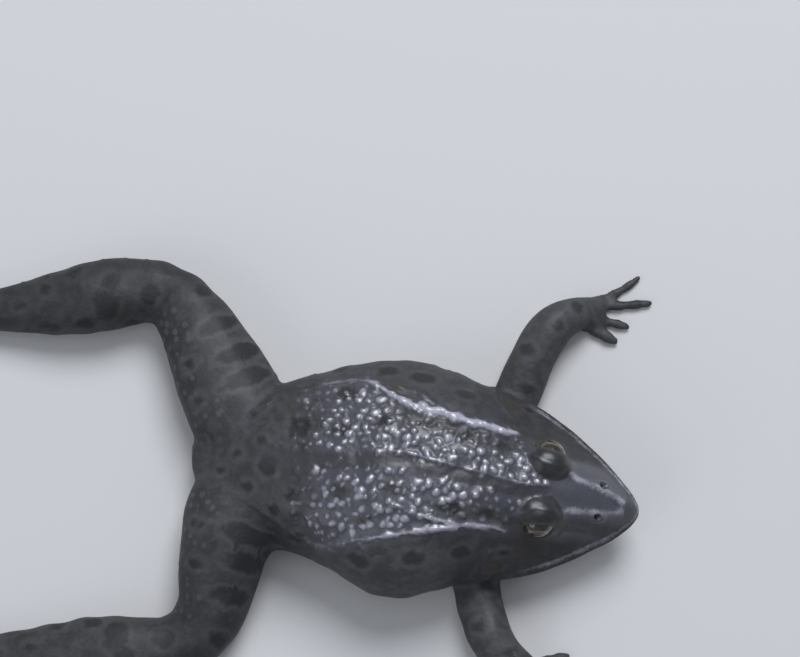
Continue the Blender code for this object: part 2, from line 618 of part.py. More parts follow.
def make_hand_or_foot(name, stations, first, digits, spacing, outer, reaches=()):
    """The end of a limb with its digits, and with webs where reaches are given."""
    start = station_length(stations, first)
    stop = station_length(stations, len(stations) - 1)
    pad = limb_piece(name, stations, start, stop, 7)
    middle = 0.5 * (len(digits) - 1)
    pieces = []
    paths = []
    for number, digit in enumerate(digits):
        path, radius = digit_path(stations, digit, number - middle, spacing, outer)
        paths.append(path)
        root = path[:1] + DIGIT_ROOT_DEPTH * unit(path[:1] - path[1:2])
        whole = np.concatenate((root, path))
        pieces.append(digit_rod(name + "_digit", whole, np.concatenate((radius[:1], radius))))
    sides = list(zip(paths, reaches))
    for inner_side, outer_side in zip(sides, sides[1:]):
        pieces.append(web(name + "_web", *inner_side, *outer_side))
    combine(pad, pieces, "UNION")
    rings, along = limb_rings(stations, [start])
    wrist = rings[0].mean(axis=0) + 0.5 * GAP * along[0]
    behind = half_space("behind_cutter", wrist[:2], -along[0, :2])
    combine(pad, [floor_cutter(), behind], "DIFFERENCE")
    finish(pad, SKIN_PALE, 0.4)


def move_to_base():
    """Moves every mesh so that the origin is at the middle of the model's base."""
    models = [obj for obj in bpy.data.objects if obj.type == "MESH"]
    corners = np.array([corner for obj in models for corner in obj.bound_box])
    low, high = corners.min(axis=0), corners.max(axis=0)
    shift = Matrix.Translation((-0.5 * (low[0] + high[0]), -0.5 * (low[1] + high[1]), -low[2]))
    for obj in models:
        obj.data.transform(shift)


make_torso()
make_head()
make_eyes()
for limb_side, leg_line, arm_line in LIMB_SETS:
    turn = 1 if limb_side == "left" else -1
    make_thigh(limb_side, leg_line)
    make_segment("shank_" + limb_side, leg_line, KNEE_STATION, HEEL_STATION, 18)
    make_segment("tarsus_" + limb_side, leg_line, HEEL_STATION, ANKLE_STATION, 11)
    make_hand_or_foot(
        "foot_" + limb_side, leg_line, ANKLE_STATION, TOES, DIGIT_ROOT_SPACING["foot"], -turn, WEB_REACH
    )
    make_segment("upper_arm_" + limb_side, arm_line, SHOULDER_STATION, ELBOW_STATION, 9)
    make_segment("forearm_" + limb_side, arm_line, ELBOW_STATION, WRIST_STATION, 9)
    make_hand_or_foot(
        "hand_" + limb_side, arm_line, WRIST_STATION, FINGERS, DIGIT_ROOT_SPACING["hand"], turn
    )
move_to_base()
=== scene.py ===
"""Leopard frog, life size: the finished skin, eyes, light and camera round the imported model.

Sizes are in millimetres in the frog's own frame: +X runs along the back to the snout, +Y to the
frog's left, +Z up, and Z = 0 is the level it lies on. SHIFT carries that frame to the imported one.
"""

import bmesh
import bpy
import numpy as np
from mathutils import Matrix, Vector


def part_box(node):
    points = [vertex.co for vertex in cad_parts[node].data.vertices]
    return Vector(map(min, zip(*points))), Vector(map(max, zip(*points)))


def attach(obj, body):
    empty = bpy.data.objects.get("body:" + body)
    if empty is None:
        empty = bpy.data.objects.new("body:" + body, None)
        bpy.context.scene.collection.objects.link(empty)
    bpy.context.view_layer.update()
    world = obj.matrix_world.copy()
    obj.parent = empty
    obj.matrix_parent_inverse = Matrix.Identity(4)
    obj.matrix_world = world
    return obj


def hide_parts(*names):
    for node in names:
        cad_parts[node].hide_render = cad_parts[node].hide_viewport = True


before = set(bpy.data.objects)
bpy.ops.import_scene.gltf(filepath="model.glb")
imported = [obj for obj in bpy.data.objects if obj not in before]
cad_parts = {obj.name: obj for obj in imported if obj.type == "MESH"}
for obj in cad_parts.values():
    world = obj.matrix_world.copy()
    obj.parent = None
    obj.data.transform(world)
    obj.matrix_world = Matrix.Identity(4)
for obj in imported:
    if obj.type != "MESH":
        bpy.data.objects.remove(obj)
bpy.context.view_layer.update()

# The trunk and the head: one smooth closed body from the vent to the snout, of soft flesh over
# the skeleton. Each cross-section has a low arched back, and a flatter belly that lies on the floor.
MM = 0.001
SPINE_X = (-40.8, -38.6, -34.0, -26.0, -17.0, -4.0, 6.0, 11.0, 17.0, 23.0, 28.5, 33.5, 37.2, 39.3, 40.2)
CENTRE_Y = (0.3, 0.3, 0.2, -0.2, 0.0, -1.5, -1.2, -1.1, -1.7, -2.1, -2.7, -3.4, -4.1, -4.4, -4.5)
HALF_WIDTH = (2.2, 5.6, 9.5, 14.2, 17.2, 21.4, 19.6, 17.8, 16.6, 14.6, 11.5, 8.0, 4.8, 2.5, 0.8)
TOP_Z = (7.2, 9.8, 13.8, 18.0, 21.0, 23.4, 23.5, 22.8, 21.4, 19.7, 17.9, 15.6, 13.6, 12.1, 10.8)
SIDE_Z = (5.2, 5.5, 6.2, 7.2, 8.3, 9.5, 9.6, 9.4, 9.1, 8.8, 8.7, 8.8, 9.0, 9.2, 9.3)
LOW_Z = (3.6, 1.9, 0.3, -0.5, -0.8, -0.8, -0.7, -0.5, 0.3, 1.8, 3.4, 5.0, 6.5, 7.6, 8.4)
BACK_SPAN = (2.2, 2.2, 2.2, 2.2, 2.2, 2.3, 2.3, 2.2, 2.0, 1.9, 1.9, 1.9, 1.9, 1.9, 1.9)
BACK_LIFT = (0.5, 0.5, 0.48, 0.46, 0.46, 0.46, 0.48, 0.55, 0.85, 1.05, 1.05, 1.0, 0.9, 0.75, 0.6)
BELLY_SPAN = 2.6
TRUNK_RINGS, TRUNK_SIDES = 240, 180
END_CROWD = 4.0           # how much closer the rings stand at the two tips


def smooth(at, stations, values):
    """Cubic curve through the stations, its slope at each one the mean of the slopes on both sides."""
    stations = np.asarray(stations, float)
    values = np.asarray(values, float)
    spans = np.diff(stations)
    rates = np.diff(values, axis=0) / (spans if values.ndim == 1 else spans[:, None])
    slopes = np.concatenate((rates[:1], 0.5 * (rates[:-1] + rates[1:]), rates[-1:]))
    at = np.clip(np.asarray(at, float), stations[0], stations[-1])
    low = np.clip(np.searchsorted(stations, at, side="right") - 1, 0, len(spans) - 1)
    span = spans[low]
    t = (at - stations[low]) / span
    if values.ndim > 1:
        t, span = t[..., None], span[..., None]
    return (
        (2 * t**3 - 3 * t**2 + 1) * values[low]
        + (t**3 - 2 * t**2 + t) * span * slopes[low]
        + (3 * t**2 - 2 * t**3) * values[low + 1]
        + (t**3 - t**2) * span * slopes[low + 1]
    )


def unit(vectors):
    """Vectors over their own length."""
    return vectors / np.linalg.norm(vectors, axis=-1, keepdims=True)


def trunk_values(x):
    """Centre, half width, top, side and low height, and the two back exponents, at each x."""
    columns = (CENTRE_Y, HALF_WIDTH, TOP_Z, SIDE_Z, LOW_Z, BACK_SPAN, BACK_LIFT)
    return [smooth(x, SPINE_X, column) for column in columns]


def back_height(x, y):
    """Height of the back over a point: side + (top - side) * (1 - q ** span) ** lift, where q is the
    distance from the midline over the half width."""
    centre, width, top, side, _, span, lift = trunk_values(x)
    q = np.clip(np.abs(np.asarray(y) - centre) / width, 0.0, 1.0)
    return side + (top - side) * (1.0 - q**span) ** lift


def turns(sides):
    """Angles evenly spaced all round."""
    return np.linspace(0.0, 2.0 * np.pi, sides, endpoint=False)


def trunk_rings(x, sides):
    """Rings round the body at each x: the arched back over the widest line, and below it the belly,
    which falls from that line by (1 - q ** span) ** (1 / span)."""
    angle = turns(sides)
    across = np.cos(angle)
    q = np.abs(across)[None, :]
    centre, width, top, side, low, span, lift = [column[:, None] for column in trunk_values(x)]
    above = side + (top - side) * (1.0 - q**span) ** lift
    below = side - (side - low) * (1.0 - q**BELLY_SPAN) ** (1.0 / BELLY_SPAN)
    z = np.where(np.sin(angle)[None, :] >= -1e-9, above, below)
    return np.stack(np.broadcast_arrays(x[:, None], centre + width * across[None, :], z), axis=-1)


def tube(rings):
    """Closed shell over an array of rings: quads between neighbours, and a fan of triangles from the
    middle of each end ring."""
    count, sides = rings.shape[:2]
    index = np.arange(count * sides).reshape(count, sides)
    after = np.roll(index, -1, axis=1)
    quads = np.stack((index[:-1], after[:-1], after[1:], index[1:]), axis=-1).reshape(-1, 4)
    points = np.concatenate((rings.reshape(-1, 3), rings[[0, -1]].mean(axis=1)))
    first = np.stack((after[0], index[0], np.full(sides, len(points) - 2)), axis=-1)
    last = np.stack((index[-1], after[-1], np.full(sides, len(points) - 1)), axis=-1)
    return points, quads.tolist() + first.tolist() + last.tolist()


lean = np.linspace(-1.0, 1.0, TRUNK_RINGS)
crowded = np.tanh(END_CROWD * 0.5 * lean) / np.tanh(END_CROWD * 0.5)
trunk_x = 0.5 * (SPINE_X[0] + SPINE_X[-1]) + 0.5 * (SPINE_X[-1] - SPINE_X[0]) * crowded
shells = [tube(trunk_rings(trunk_x, TRUNK_SIDES))]

# The hind legs: thigh, shank and long ankle, each bent outwards at the knee and back at the heel.
# They are muscle over bone, thickest at the thigh, with a calf that tapers to the heel.
# A station is (x, y, z, half width, half height).
LEG_LEFT = (
    (-26.0, 1.5, 8.6, 6.6, 6.4), (-32.4, 8.8, 7.2, 9.0, 7.5), (-36.4, 15.4, 6.9, 8.7, 7.3),
    (-40.0, 21.6, 6.5, 7.5, 6.8), (-43.2, 26.4, 6.0, 6.4, 6.3), (-46.4, 29.3, 5.5, 5.8, 5.8),
    (-50.6, 30.5, 5.4, 5.8, 5.7), (-55.0, 30.0, 5.5, 6.3, 5.8), (-60.0, 28.8, 5.5, 6.6, 5.8),
    (-67.2, 27.2, 5.0, 5.9, 5.3), (-78.0, 25.4, 3.7, 3.9, 4.0), (-85.0, 24.2, 3.0, 3.1, 3.2),
    (-89.0, 24.4, 2.8, 3.3, 3.0), (-93.0, 25.8, 2.6, 3.0, 2.8), (-100.0, 28.7, 2.2, 2.5, 2.4),
    (-107.0, 31.2, 1.9, 3.1, 2.1), (-112.0, 32.0, 1.7, 4.1, 1.85),
)
LEG_RIGHT = (
    (-26.0, -1.5, 8.6, 6.6, 6.4), (-31.6, -8.6, 7.2, 9.0, 7.5), (-33.2, -15.2, 6.9, 8.2, 7.3),
    (-34.0, -21.4, 6.5, 7.2, 6.8), (-34.9, -27.0, 6.0, 6.3, 6.3), (-37.4, -31.6, 5.5, 5.8, 5.8),
    (-41.6, -34.4, 5.4, 5.8, 5.7), (-46.4, -35.4, 5.5, 6.3, 5.8), (-51.2, -35.8, 5.5, 6.6, 5.8),
    (-58.6, -36.2, 5.0, 5.9, 5.3), (-69.6, -37.0, 3.7, 3.9, 4.0), (-76.6, -37.5, 3.0, 3.1, 3.2),
    (-80.4, -38.4, 2.8, 3.3, 3.0), (-84.4, -40.3, 2.6, 3.0, 2.8), (-91.0, -43.4, 2.2, 2.5, 2.4),
    (-98.0, -46.0, 1.9, 3.1, 2.1), (-103.0, -47.0, 1.7, 4.1, 1.85),
)
UP = np.array((0.0, 0.0, 1.0))
LIMB_SIDES = 48
LIMB_STEP = 0.5
MUSCLE_VALLEY = 0.035     # depth of the shallow valley along a limb's top, as a share of its height


def stations_along(stations):
    """Running length at each station of a limb or a line."""
    rows = np.asarray(stations, float)
    return np.concatenate(([0.0], np.cumsum(np.linalg.norm(np.diff(rows[:, :3], axis=0), axis=1))))


def limb_axis(stations, at):
    """Middle, half width and half height of a limb at the running lengths given, with unit vectors
    along it, level across it and up."""
    length = stations_along(stations)
    row = smooth(at, length, stations)
    step = 0.05
    ahead = smooth(at + step, length, stations)[:, :3]
    behind = smooth(at - step, length, stations)[:, :3]
    along = unit(ahead - behind)
    across = unit(np.cross(UP, along))
    return row[:, :3], row[:, 3], row[:, 4], along, across, np.cross(along, across)


def limb_tube(stations, sides):
    """Shell round a limb: ellipses square to its curved line, with a shallow valley on top between
    the two rows of muscle, 1 - depth * exp(-((angle - 100) / 22) ** 2) in degrees."""
    length = stations_along(stations)
    at = np.linspace(0.0, length[-1], int(length[-1] / LIMB_STEP))
    middle, wide, high, _, across, lift = limb_axis(stations, at)
    angle = turns(sides)[None, :]
    valley = 1.0 - MUSCLE_VALLEY * np.exp(-(((np.degrees(angle) - 100.0) / 22.0) ** 2))
    out = (wide[:, None] * np.cos(angle) * valley)[..., None] * across[:, None]
    rise = (high[:, None] * np.sin(angle) * valley)[..., None] * lift[:, None]
    return tube(middle[:, None] + out + rise)


shells += [limb_tube(leg, LIMB_SIDES) for leg in (LEG_LEFT, LEG_RIGHT)]

# The arms: muscle over bone like the legs, but short and stout. They grow out of the chest behind the
# head and are spread forwards, with a bent elbow and a narrow wrist.
ARM_SIZES = (             # height of the middle, half width and half height, alike on both sides
    (5.0, 4.4, 3.8), (3.6, 4.4, 3.6), (3.3, 4.3, 3.5), (4.2, 4.1, 3.9),
    (4.9, 3.8, 3.8), (3.9, 3.1, 3.0), (2.2, 2.8, 1.9), (1.25, 2.9, 1.3),
)
ARM_LEFT_COURSE = (
    (9.0, 4.5), (13.4, 9.2), (17.2, 15.4), (20.2, 23.6),
    (23.6, 29.4), (27.4, 31.9), (30.2, 33.0), (32.4, 33.5),
)
ARM_RIGHT_COURSE = (
    (6.5, -5.5), (9.2, -10.6), (11.6, -16.6), (13.9, -24.6),
    (17.2, -30.6), (21.2, -33.4), (24.2, -34.8), (26.4, -35.6),
)
ARM_LEFT = tuple(place + size for place, size in zip(ARM_LEFT_COURSE, ARM_SIZES))
ARM_RIGHT = tuple(place + size for place, size in zip(ARM_RIGHT_COURSE, ARM_SIZES))
shells += [limb_tube(arm, LIMB_SIDES) for arm in (ARM_LEFT, ARM_RIGHT)]

# Fingers and toes: slender bones under thin skin, swollen a little at each joint, with round tips.
# Webs of thin skin join the toes, and each web's free edge is hollowed in a curve. A row is direction
# and bend in degrees outwards, length, root and tip radius, and how far the root is set back.
FINGERS = (
    (-38.0, 0.0, 6.8, 1.2, 0.95, 3.4), (-27.0, 4.0, 7.4, 1.0, 0.8, 2.0),
    (-5.0, 2.0, 9.6, 0.95, 0.75, 0.0), (8.0, 28.0, 9.0, 0.85, 0.65, 0.0),
)
TOES = (
    (-31.0, -6.0, 16.0, 1.2, 0.75, 0.0), (-18.0, -6.0, 23.0, 1.3, 0.75, 0.0),
    (-6.0, -3.0, 31.5, 1.4, 0.8, 0.0), (6.0, 2.0, 39.5, 1.5, 0.8, 0.0), (18.5, 6.0, 30.5, 1.3, 0.75, 0.0),
)
FINGER_SPACING, TOE_SPACING = 1.5, 1.25
DIGIT_ROOT_DEPTH = 2.0
DIGIT_SAMPLES = 60
DIGIT_SIDES = 20
DIGIT_SINK = 0.12
ROOT_RINGS = 5
KNUCKLES, KNUCKLE_SWELLING, TIP_SWELLING = 3, 0.10, 0.06
TIP_ROUND = 1.9            # length of the rounding at a tip, over the radius there
WEB_REACH = (0.90, 0.84, 0.78, 0.58, 0.84)
WEB_THICKNESS = 0.9
WEB_HEIGHT = 0.75
WEB_NOTCH = 0.30
WEB_ROWS, WEB_COLUMNS = 40, 20


def digit_path(stations, digit, slot, spacing, outer):
    """Centre line of a finger or toe from its limb's end, its heading start + bend * share, and its
    radius falling evenly from root to tip."""
    start, bend, length, root, tip, set_back = digit
    end, before = (np.array(stations[k][:3]) for k in (-1, -2))
    heading = np.arctan2(end[1] - before[1], end[0] - before[0])
    share = np.linspace(0.0, 1.0, DIGIT_SAMPLES)
    angle = heading + outer * np.radians(start + bend * share)
    step = length / (DIGIT_SAMPLES - 1)
    x = np.concatenate(([0.0], np.cumsum(np.cos(angle[1:])))) * step
    y = np.concatenate(([0.0], np.cumsum(np.sin(angle[1:])))) * step
    aside = outer * slot * spacing
    radius = root + (tip - root) * share
    first_x = end[0] - aside * np.sin(heading) - set_back * np.cos(heading)
    first_y = end[1] + aside * np.cos(heading) - set_back * np.sin(heading)
    return np.stack((first_x + x, first_y + y, radius - DIGIT_SINK), axis=1), radius


def digit_tube(path, radius):
    """Round rod whose radius swells by a cosine at each joint and again before its tip, where it
    closes as sqrt(1 - (1 - d / r)^2) with the distance d to the end."""
    back = np.linspace(1.0, 0.1, ROOT_RINGS)[:, None]
    root = path[:1] + DIGIT_ROOT_DEPTH * unit(path[:1] - path[1:2]) * back
    line = np.concatenate((root, path))
    share = np.clip(np.linspace(-0.05, 1.0, len(line)), 0.0, 1.0)
    swelling = 1.0 + KNUCKLE_SWELLING * np.cos(2.0 * np.pi * KNUCKLES * share) + TIP_SWELLING * share**12
    size = np.concatenate((np.full(ROOT_RINGS, radius[0]), radius)) * swelling
    to_end = np.linalg.norm(line - line[-1], axis=1) / (TIP_ROUND * size[-1])
    size = size * np.sqrt(np.clip(1.0 - np.clip(1.0 - to_end, 0.0, 1.0) ** 2, 0.02, 1.0))
    along = unit(np.gradient(line, axis=0))
    across = unit(np.cross(UP, along))
    lift = np.cross(along, across)
    angle = turns(DIGIT_SIDES)[None, :, None]
    around = np.cos(angle) * across[:, None] + np.sin(angle) * lift[:, None]
    return tube(line[:, None] + size[:, None, None] * around)


def on_line(at, length, line):
    """Points on a line of straight pieces at the lengths given, with the length at each of its stops."""
    return np.stack([np.interp(at, length, line[:, k]) for k in range(3)], axis=-1)


def web_shell(path_a, reach_a, path_b, reach_b):
    """Sheet between two toes: straight lines from one toe to the other, drawn back by
    notch * 4 * t * (1 - t) between them, closed to a slab by a wall round its edge."""
    across = np.linspace(0.0, 1.0, WEB_COLUMNS)[None, :]
    along = np.linspace(0.02, 1.0, WEB_ROWS)[:, None]
    notch = 1.0 - WEB_NOTCH * 4.0 * across * (1.0 - across) * along
    share = np.linspace(0.0, 1.0, DIGIT_SAMPLES)
    edges = []
    for path, reach in ((path_a, reach_a), (path_b, reach_b)):
        edges.append(on_line(along * reach * notch, share, path))
    middle = edges[0] * (1.0 - across[..., None]) + edges[1] * across[..., None]
    middle[..., 2] = WEB_HEIGHT
    lift = 0.5 * WEB_THICKNESS * UP
    points = np.concatenate(((middle + lift).reshape(-1, 3), (middle - lift).reshape(-1, 3)))
    index = np.arange(WEB_ROWS * WEB_COLUMNS).reshape(WEB_ROWS, WEB_COLUMNS)
    corners = (index[:-1, :-1], index[:-1, 1:], index[1:, 1:], index[1:, :-1])
    top = np.stack([corner.ravel() for corner in corners], axis=1)
    edge = np.concatenate((index[0], index[1:, -1], index[-1, -2::-1], index[-2:0:-1, 0]))
    under = WEB_ROWS * WEB_COLUMNS
    wall = np.stack((edge, np.roll(edge, -1), np.roll(edge, -1) + under, edge + under), axis=1)
    return points, top.tolist() + (top + under)[:, ::-1].tolist() + wall.tolist()


digit_tips = []
for limb, digits, spacing, outer in (
    (ARM_LEFT, FINGERS, FINGER_SPACING, 1), (ARM_RIGHT, FINGERS, FINGER_SPACING, -1),
    (LEG_LEFT, TOES, TOE_SPACING, -1), (LEG_RIGHT, TOES, TOE_SPACING, 1),
):
    first_slot = -0.5 * (len(digits) - 1)
    paths = [digit_path(limb, digit, first_slot + k, spacing, outer) for k, digit in enumerate(digits)]
    shells += [digit_tube(*line) for line in paths]
    digit_tips += [line[-1] for line, _ in paths]
    if digits is TOES:
        for k in range(len(TOES) - 1):
            shells.append(web_shell(paths[k][0], WEB_REACH[k], paths[k + 1][0], WEB_REACH[k + 1]))

# The lids: a ball of thin skin over each eye, half sunk in the head and grown together with its skin
# all round. Its opening is made below.
HEAD_TURN = np.radians(-7.0)
EYE_MIDDLE = np.array((22.8, -2.6, 16.9))
EYE_APART = 10.2
EYE_RADIUS = 3.4
LID_RADIUS = 4.3
LID_STRETCH = 0.13        # how much longer the lids are than wide
LID_BACK = 0.4            # how far their middle lies behind the eye's
GAZE = (0.16, 0.90, 0.36)            # forward, outwards and up
HEAD_FORWARD = np.array((np.cos(HEAD_TURN), np.sin(HEAD_TURN), 0.0))
HEAD_LEFT = np.array((-np.sin(HEAD_TURN), np.cos(HEAD_TURN), 0.0))


def head_place(ahead, aside):
    """Point so far ahead of the eyes' middle and so far to the head's left, at their height."""
    return EYE_MIDDLE + ahead * HEAD_FORWARD + aside * HEAD_LEFT


def eye_centre(side):
    """Middle of the left eyeball for side 1, and of the right one for -1."""
    return head_place(0.0, side * 0.5 * EYE_APART)


def gaze_axes(side):
    """Unit vectors of one eye: along its opening, up across it, and out of it."""
    out = unit(GAZE[0] * HEAD_FORWARD + side * GAZE[1] * HEAD_LEFT + GAZE[2] * UP)
    along = unit(HEAD_FORWARD - np.dot(HEAD_FORWARD, out) * out)
    return along, np.cross(out, along) * side, out


def round_directions(pole, rings, sides):
    """Unit vectors all round, (sin a cos b, sin a sin b, cos a), with a from one pole to the other."""
    tilt = np.linspace(pole, np.pi - pole, rings)[:, None]
    turn = turns(sides)[None, :]
    aside = np.sin(tilt)
    return np.stack((aside * np.cos(turn), aside * np.sin(turn), np.cos(tilt) + 0.0 * turn), axis=-1)


def ball(centre, radius, rings=40, sides=60):
    """The round directions times the radius, stretched forwards."""
    around = round_directions(0.02, rings, sides)
    around = around + LID_STRETCH * (around @ HEAD_FORWARD)[..., None] * HEAD_FORWARD
    return tube(centre + radius * around)


shells += [ball(eye_centre(side) - LID_BACK * HEAD_FORWARD, LID_RADIUS) for side in (1, -1)]

# One skin over all of it. The shells are merged to a single closed surface, the creases where limbs
# meet the body are eased, and the back, head and hands get a finer mesh for their small forms.
VOXEL = 0.5               # step of the grid on which the shells are merged
FLESH = [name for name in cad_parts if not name.startswith("eye_")]
eye_corners = [corner for name in ("eye_left", "eye_right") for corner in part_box(name)]
SHIFT = 0.25 * sum(np.array(corner) for corner in eye_corners) / MM - EYE_MIDDLE
WAVES = 36                # waves summed in each field of unevenness
CREASES = (               # place and reach
    ((-28.0, 15.5, 8.0), 6.0), ((-26.0, -15.5, 8.0), 6.0), ((-40.0, 9.0, 7.0), 5.0),
    ((-38.0, -9.0, 7.0), 5.0), ((16.5, 15.0, 5.0), 4.0), ((10.5, 17.0, 5.0), 4.0),
    ((11.5, -17.5, 5.0), 4.0), ((6.0, -18.0, 5.0), 4.0), ((31.5, 33.0, 1.5), 2.6),
    ((25.6, -35.2, 1.5), 2.6), ((-41.0, 0.3, 5.0), 5.0),
)
CREASE_ROUNDS = 28
LID_FOOT = (0.35, 1.4)    # how far outside the lid's ball its foot is eased, and the half width there
EVEN_BACK = 1.04          # the step back of each round of smoothing that must not shrink the skin


def joined_mesh(name, parts):
    """One mesh from several shells, each moved on in the list of points."""
    starts = np.concatenate(([0], np.cumsum([len(points) for points, _ in parts])))
    points = np.concatenate([points for points, _ in parts])
    faces = []
    for start, (_, part) in zip(starts.tolist(), parts):
        faces += [[corner + start for corner in face] for face in part]
    mesh = bpy.data.meshes.new(name)
    mesh.from_pydata(points * MM, [], faces)
    return mesh


def placed(name, data):
    """A new object of that data in the scene."""
    thing = bpy.data.objects.new(name, data)
    bpy.context.scene.collection.objects.link(thing)
    return thing


def settled(thing):
    """The object's mesh with its modifiers applied. The object itself is taken away."""
    mesh = bpy.data.meshes.new_from_object(thing.evaluated_get(bpy.context.evaluated_depsgraph_get()))
    bpy.data.objects.remove(thing, do_unlink=True)
    return mesh


def read(items, name, width, kind=float):
    """One property of all points or edges of a mesh, a row for each."""
    flat = np.empty(len(items) * width, dtype=kind)
    items.foreach_get(name, flat)
    return flat.reshape(-1, width)


def points_of(mesh):
    """The mesh's points in millimetres."""
    return read(mesh.vertices, "co", 3) / MM


def relaxed(points, mesh, share, rounds, back=0.0):
    """Each round moves every point a share of the way to the mean of its neighbours. With back above
    0 a second step moves it the other way, so that thin parts don't shrink."""
    a, b = read(mesh.edges, "vertices", 2, np.int32).T
    count = len(points)
    degree = np.bincount(np.concatenate((a, b)), minlength=count)[:, None]
    share = np.broadcast_to(share, count)[:, None]
    for step in [1.0, -back] * rounds if back else [1.0] * rounds:
        total = np.stack([
            np.bincount(a, points[b, k], count) + np.bincount(b, points[a, k], count) for k in range(3)
        ], axis=1)
        points = points + step * share * (total / degree - points)
    return points


def refined(mesh, chosen):
    """Cuts each chosen face in four. Chosen is a flag for each point."""
    bm = bmesh.new()
    bm.from_mesh(mesh)
    bm.verts.ensure_lookup_table()
    edges = [edge for edge in bm.edges if chosen[edge.verts[0].index] and chosen[edge.verts[1].index]]
    bmesh.ops.subdivide_edges(bm, edges=edges, cuts=1, use_grid_fill=True)
    bm.to_mesh(mesh)
    bm.free()


def ease(value, low, high):
    """0 below low, 1 above high, and 3 t^2 - 2 t^3 between them."""
    t = np.clip((value - low) / (high - low), 0.0, 1.0)
    return t * t * (3.0 - 2.0 * t)


def bell(value, half_width):
    """exp(-(value / half width)^2)."""
    return np.exp(-((value / half_width) ** 2))


def far_from(points, place):
    """Distance of each point from a place."""
    return np.linalg.norm(points - np.asarray(place), axis=1)


def near(points, place, reach):
    """1 at a place, falling to 0 by a bell curve of that reach."""
    return bell(far_from(points, place), reach)


def ripple(points, size, seed):
    """Sum of cos(k . p + phase) over waves of random direction and of lengths near size, scaled to a
    spread of about 1."""
    own_draw = np.random.default_rng(seed)
    ways = unit(own_draw.normal(size=(WAVES, 3)))
    waves = ways * (2.0 * np.pi / size) * own_draw.uniform(0.7, 1.4, (WAVES, 1))
    phase = own_draw.uniform(0.0, 2.0 * np.pi, WAVES)
    return np.cos(points @ waves.T + phase).sum(axis=1) / np.sqrt(0.5 * WAVES)


rough = placed("rough_skin", joined_mesh("rough_skin", shells))
merge = rough.modifiers.new("merge", "REMESH")
merge.mode = "VOXEL"
merge.voxel_size = VOXEL * MM
skin_mesh = settled(rough)
skin_points = points_of(skin_mesh)
crease_share = sum(near(skin_points, place, reach) for place, reach in CREASES)
for side in (1, -1):
    gap = far_from(skin_points, eye_centre(side)) - LID_RADIUS - LID_FOOT[0]
    crease_share += bell(gap, LID_FOOT[1]) * ease(eye_centre(side)[2] + 2.0 - skin_points[:, 2], 0.0, 1.5)
skin_points = relaxed(skin_points, skin_mesh, 0.5, 3, back=EVEN_BACK)
skin_points = relaxed(skin_points, skin_mesh, 0.5 * np.clip(crease_share, 0.0, 1.0), CREASE_ROUNDS)
skin_mesh.vertices.foreach_set("co", (skin_points * MM).ravel())

# The folds of skin: a pale glandular ridge runs down each side of the back, low and faint over the
# rump and broad and beaded behind the eyes, with short ones beside them and a fine one on the spine.
# Their paleness is partly the folds' own colour and partly a painted sheen; on the spine's ridge it is a
# painted highlight.
FOLD_LEFT = (
    (-35.0, 4.6), (-27.0, 9.4), (-17.0, 13.2), (-9.5, 14.2), (-4.4, 11.2),
    (0.2, 9.6), (3.7, 8.9), (9.1, 7.6), (14.5, 6.8), (19.4, 6.7),
)
FOLD_RIGHT = (
    (-34.5, -4.6), (-26.0, -10.2), (-15.7, -15.2), (-8.8, -14.1),
    (-1.8, -12.8), (5.1, -11.4), (12.1, -10.2), (18.4, -10.9),
)
FOLD_INNER = ((-5.0, -7.6), (-0.3, -9.1), (5.5, -10.2), (8.4, -10.7))
FOLD_SECOND = ((-9.0, 14.4), (-3.7, 13.2), (0.9, 11.6), (4.4, 9.4))
SPINE_RIDGE = ((-12.0, 1.2), (-2.8, 1.4), (3.4, 0.3), (9.6, -0.8), (15.8, -1.8), (20.3, -2.4), (24.5, -2.3))
FOLDS = (     # course, where it begins to rise and has risen, half width and height there, and paleness
    (FOLD_LEFT, (-15.0, 1.0), (0.50, 0.85), (0.22, 0.62), 1.0),
    (FOLD_RIGHT, (-17.0, 8.0), (0.45, 0.62), (0.20, 0.50), 0.75),
    (FOLD_INNER, (-5.0, 5.0), (0.45, 0.65), (0.22, 0.42), 0.7),
    (FOLD_SECOND, (-9.0, 4.0), (0.45, 0.55), (0.25, 0.30), 0.45),
    # The spine ridge's paleness is a painted highlight, a thin line of painted glints along the band's
    # edge.
    (SPINE_RIDGE, (-12.0, 2.0), (0.42, 0.48), (0.05, 0.20), 0.5),
)
FOLD_BEADS = 0.26         # how much a fold's height and width vary along it
FOLD_SAMPLES = 260
CHUNK = 4000              # points measured at a time, so that the tables of distances stay small
HAND_ZONES = (((36.0, 34.0, 1.0), 9.0), ((29.5, -37.0, 1.0), 9.0))     # middle and reach
TIP_EASE = (1.3, 14)      # reach and rounds of the smoothing of the tips of fingers and toes


def back_line(course):
    """Line on the back under points given from above."""
    stops = np.asarray(course)
    x = np.linspace(stops[0, 0], stops[-1, 0], FOLD_SAMPLES)
    y = smooth(x, stops[:, 0], stops[:, 1])
    return np.stack((x, y, back_height(x, y)), axis=1)


def nearest(points, line):
    """For each point, the distance to the line's nearest sample, and that sample's share of the line."""
    gap = np.empty(len(points))
    place = np.empty(len(points))
    for start in range(0, len(points), CHUNK):
        block = points[start:start + CHUNK]
        square = np.sum((block[:, None] - line[None]) ** 2, axis=2)
        found = square.argmin(axis=1)
        gap[start:start + CHUNK] = np.sqrt(square[np.arange(len(block)), found])
        place[start:start + CHUNK] = found / (len(line) - 1)
    return gap, place


def ridge_field(points, line, half_width):
    """Bell curve across a line, fading in over its first 0.1 and out over its last 0.06."""
    gap, place = nearest(points, line)
    return bell(gap, half_width) * ease(place, 0.0, 0.1) * ease(1.0 - place, 0.0, 0.06)


def course_y(x, course):
    """Y of a course of (x, y) stops at each x, by straight lines."""
    return np.interp(x, *np.array(course).T)


def fold_gaps(points):
    """How far each point lies inside the left fold and inside the right one, straight across."""
    x, y = points[:, 0], points[:, 1]
    return course_y(x, FOLD_LEFT) - y, y - course_y(x, FOLD_RIGHT)


def between(ends, share):
    """The first end where share is 0 and the second where it is 1."""
    return ends[0] + (ends[1] - ends[0]) * share


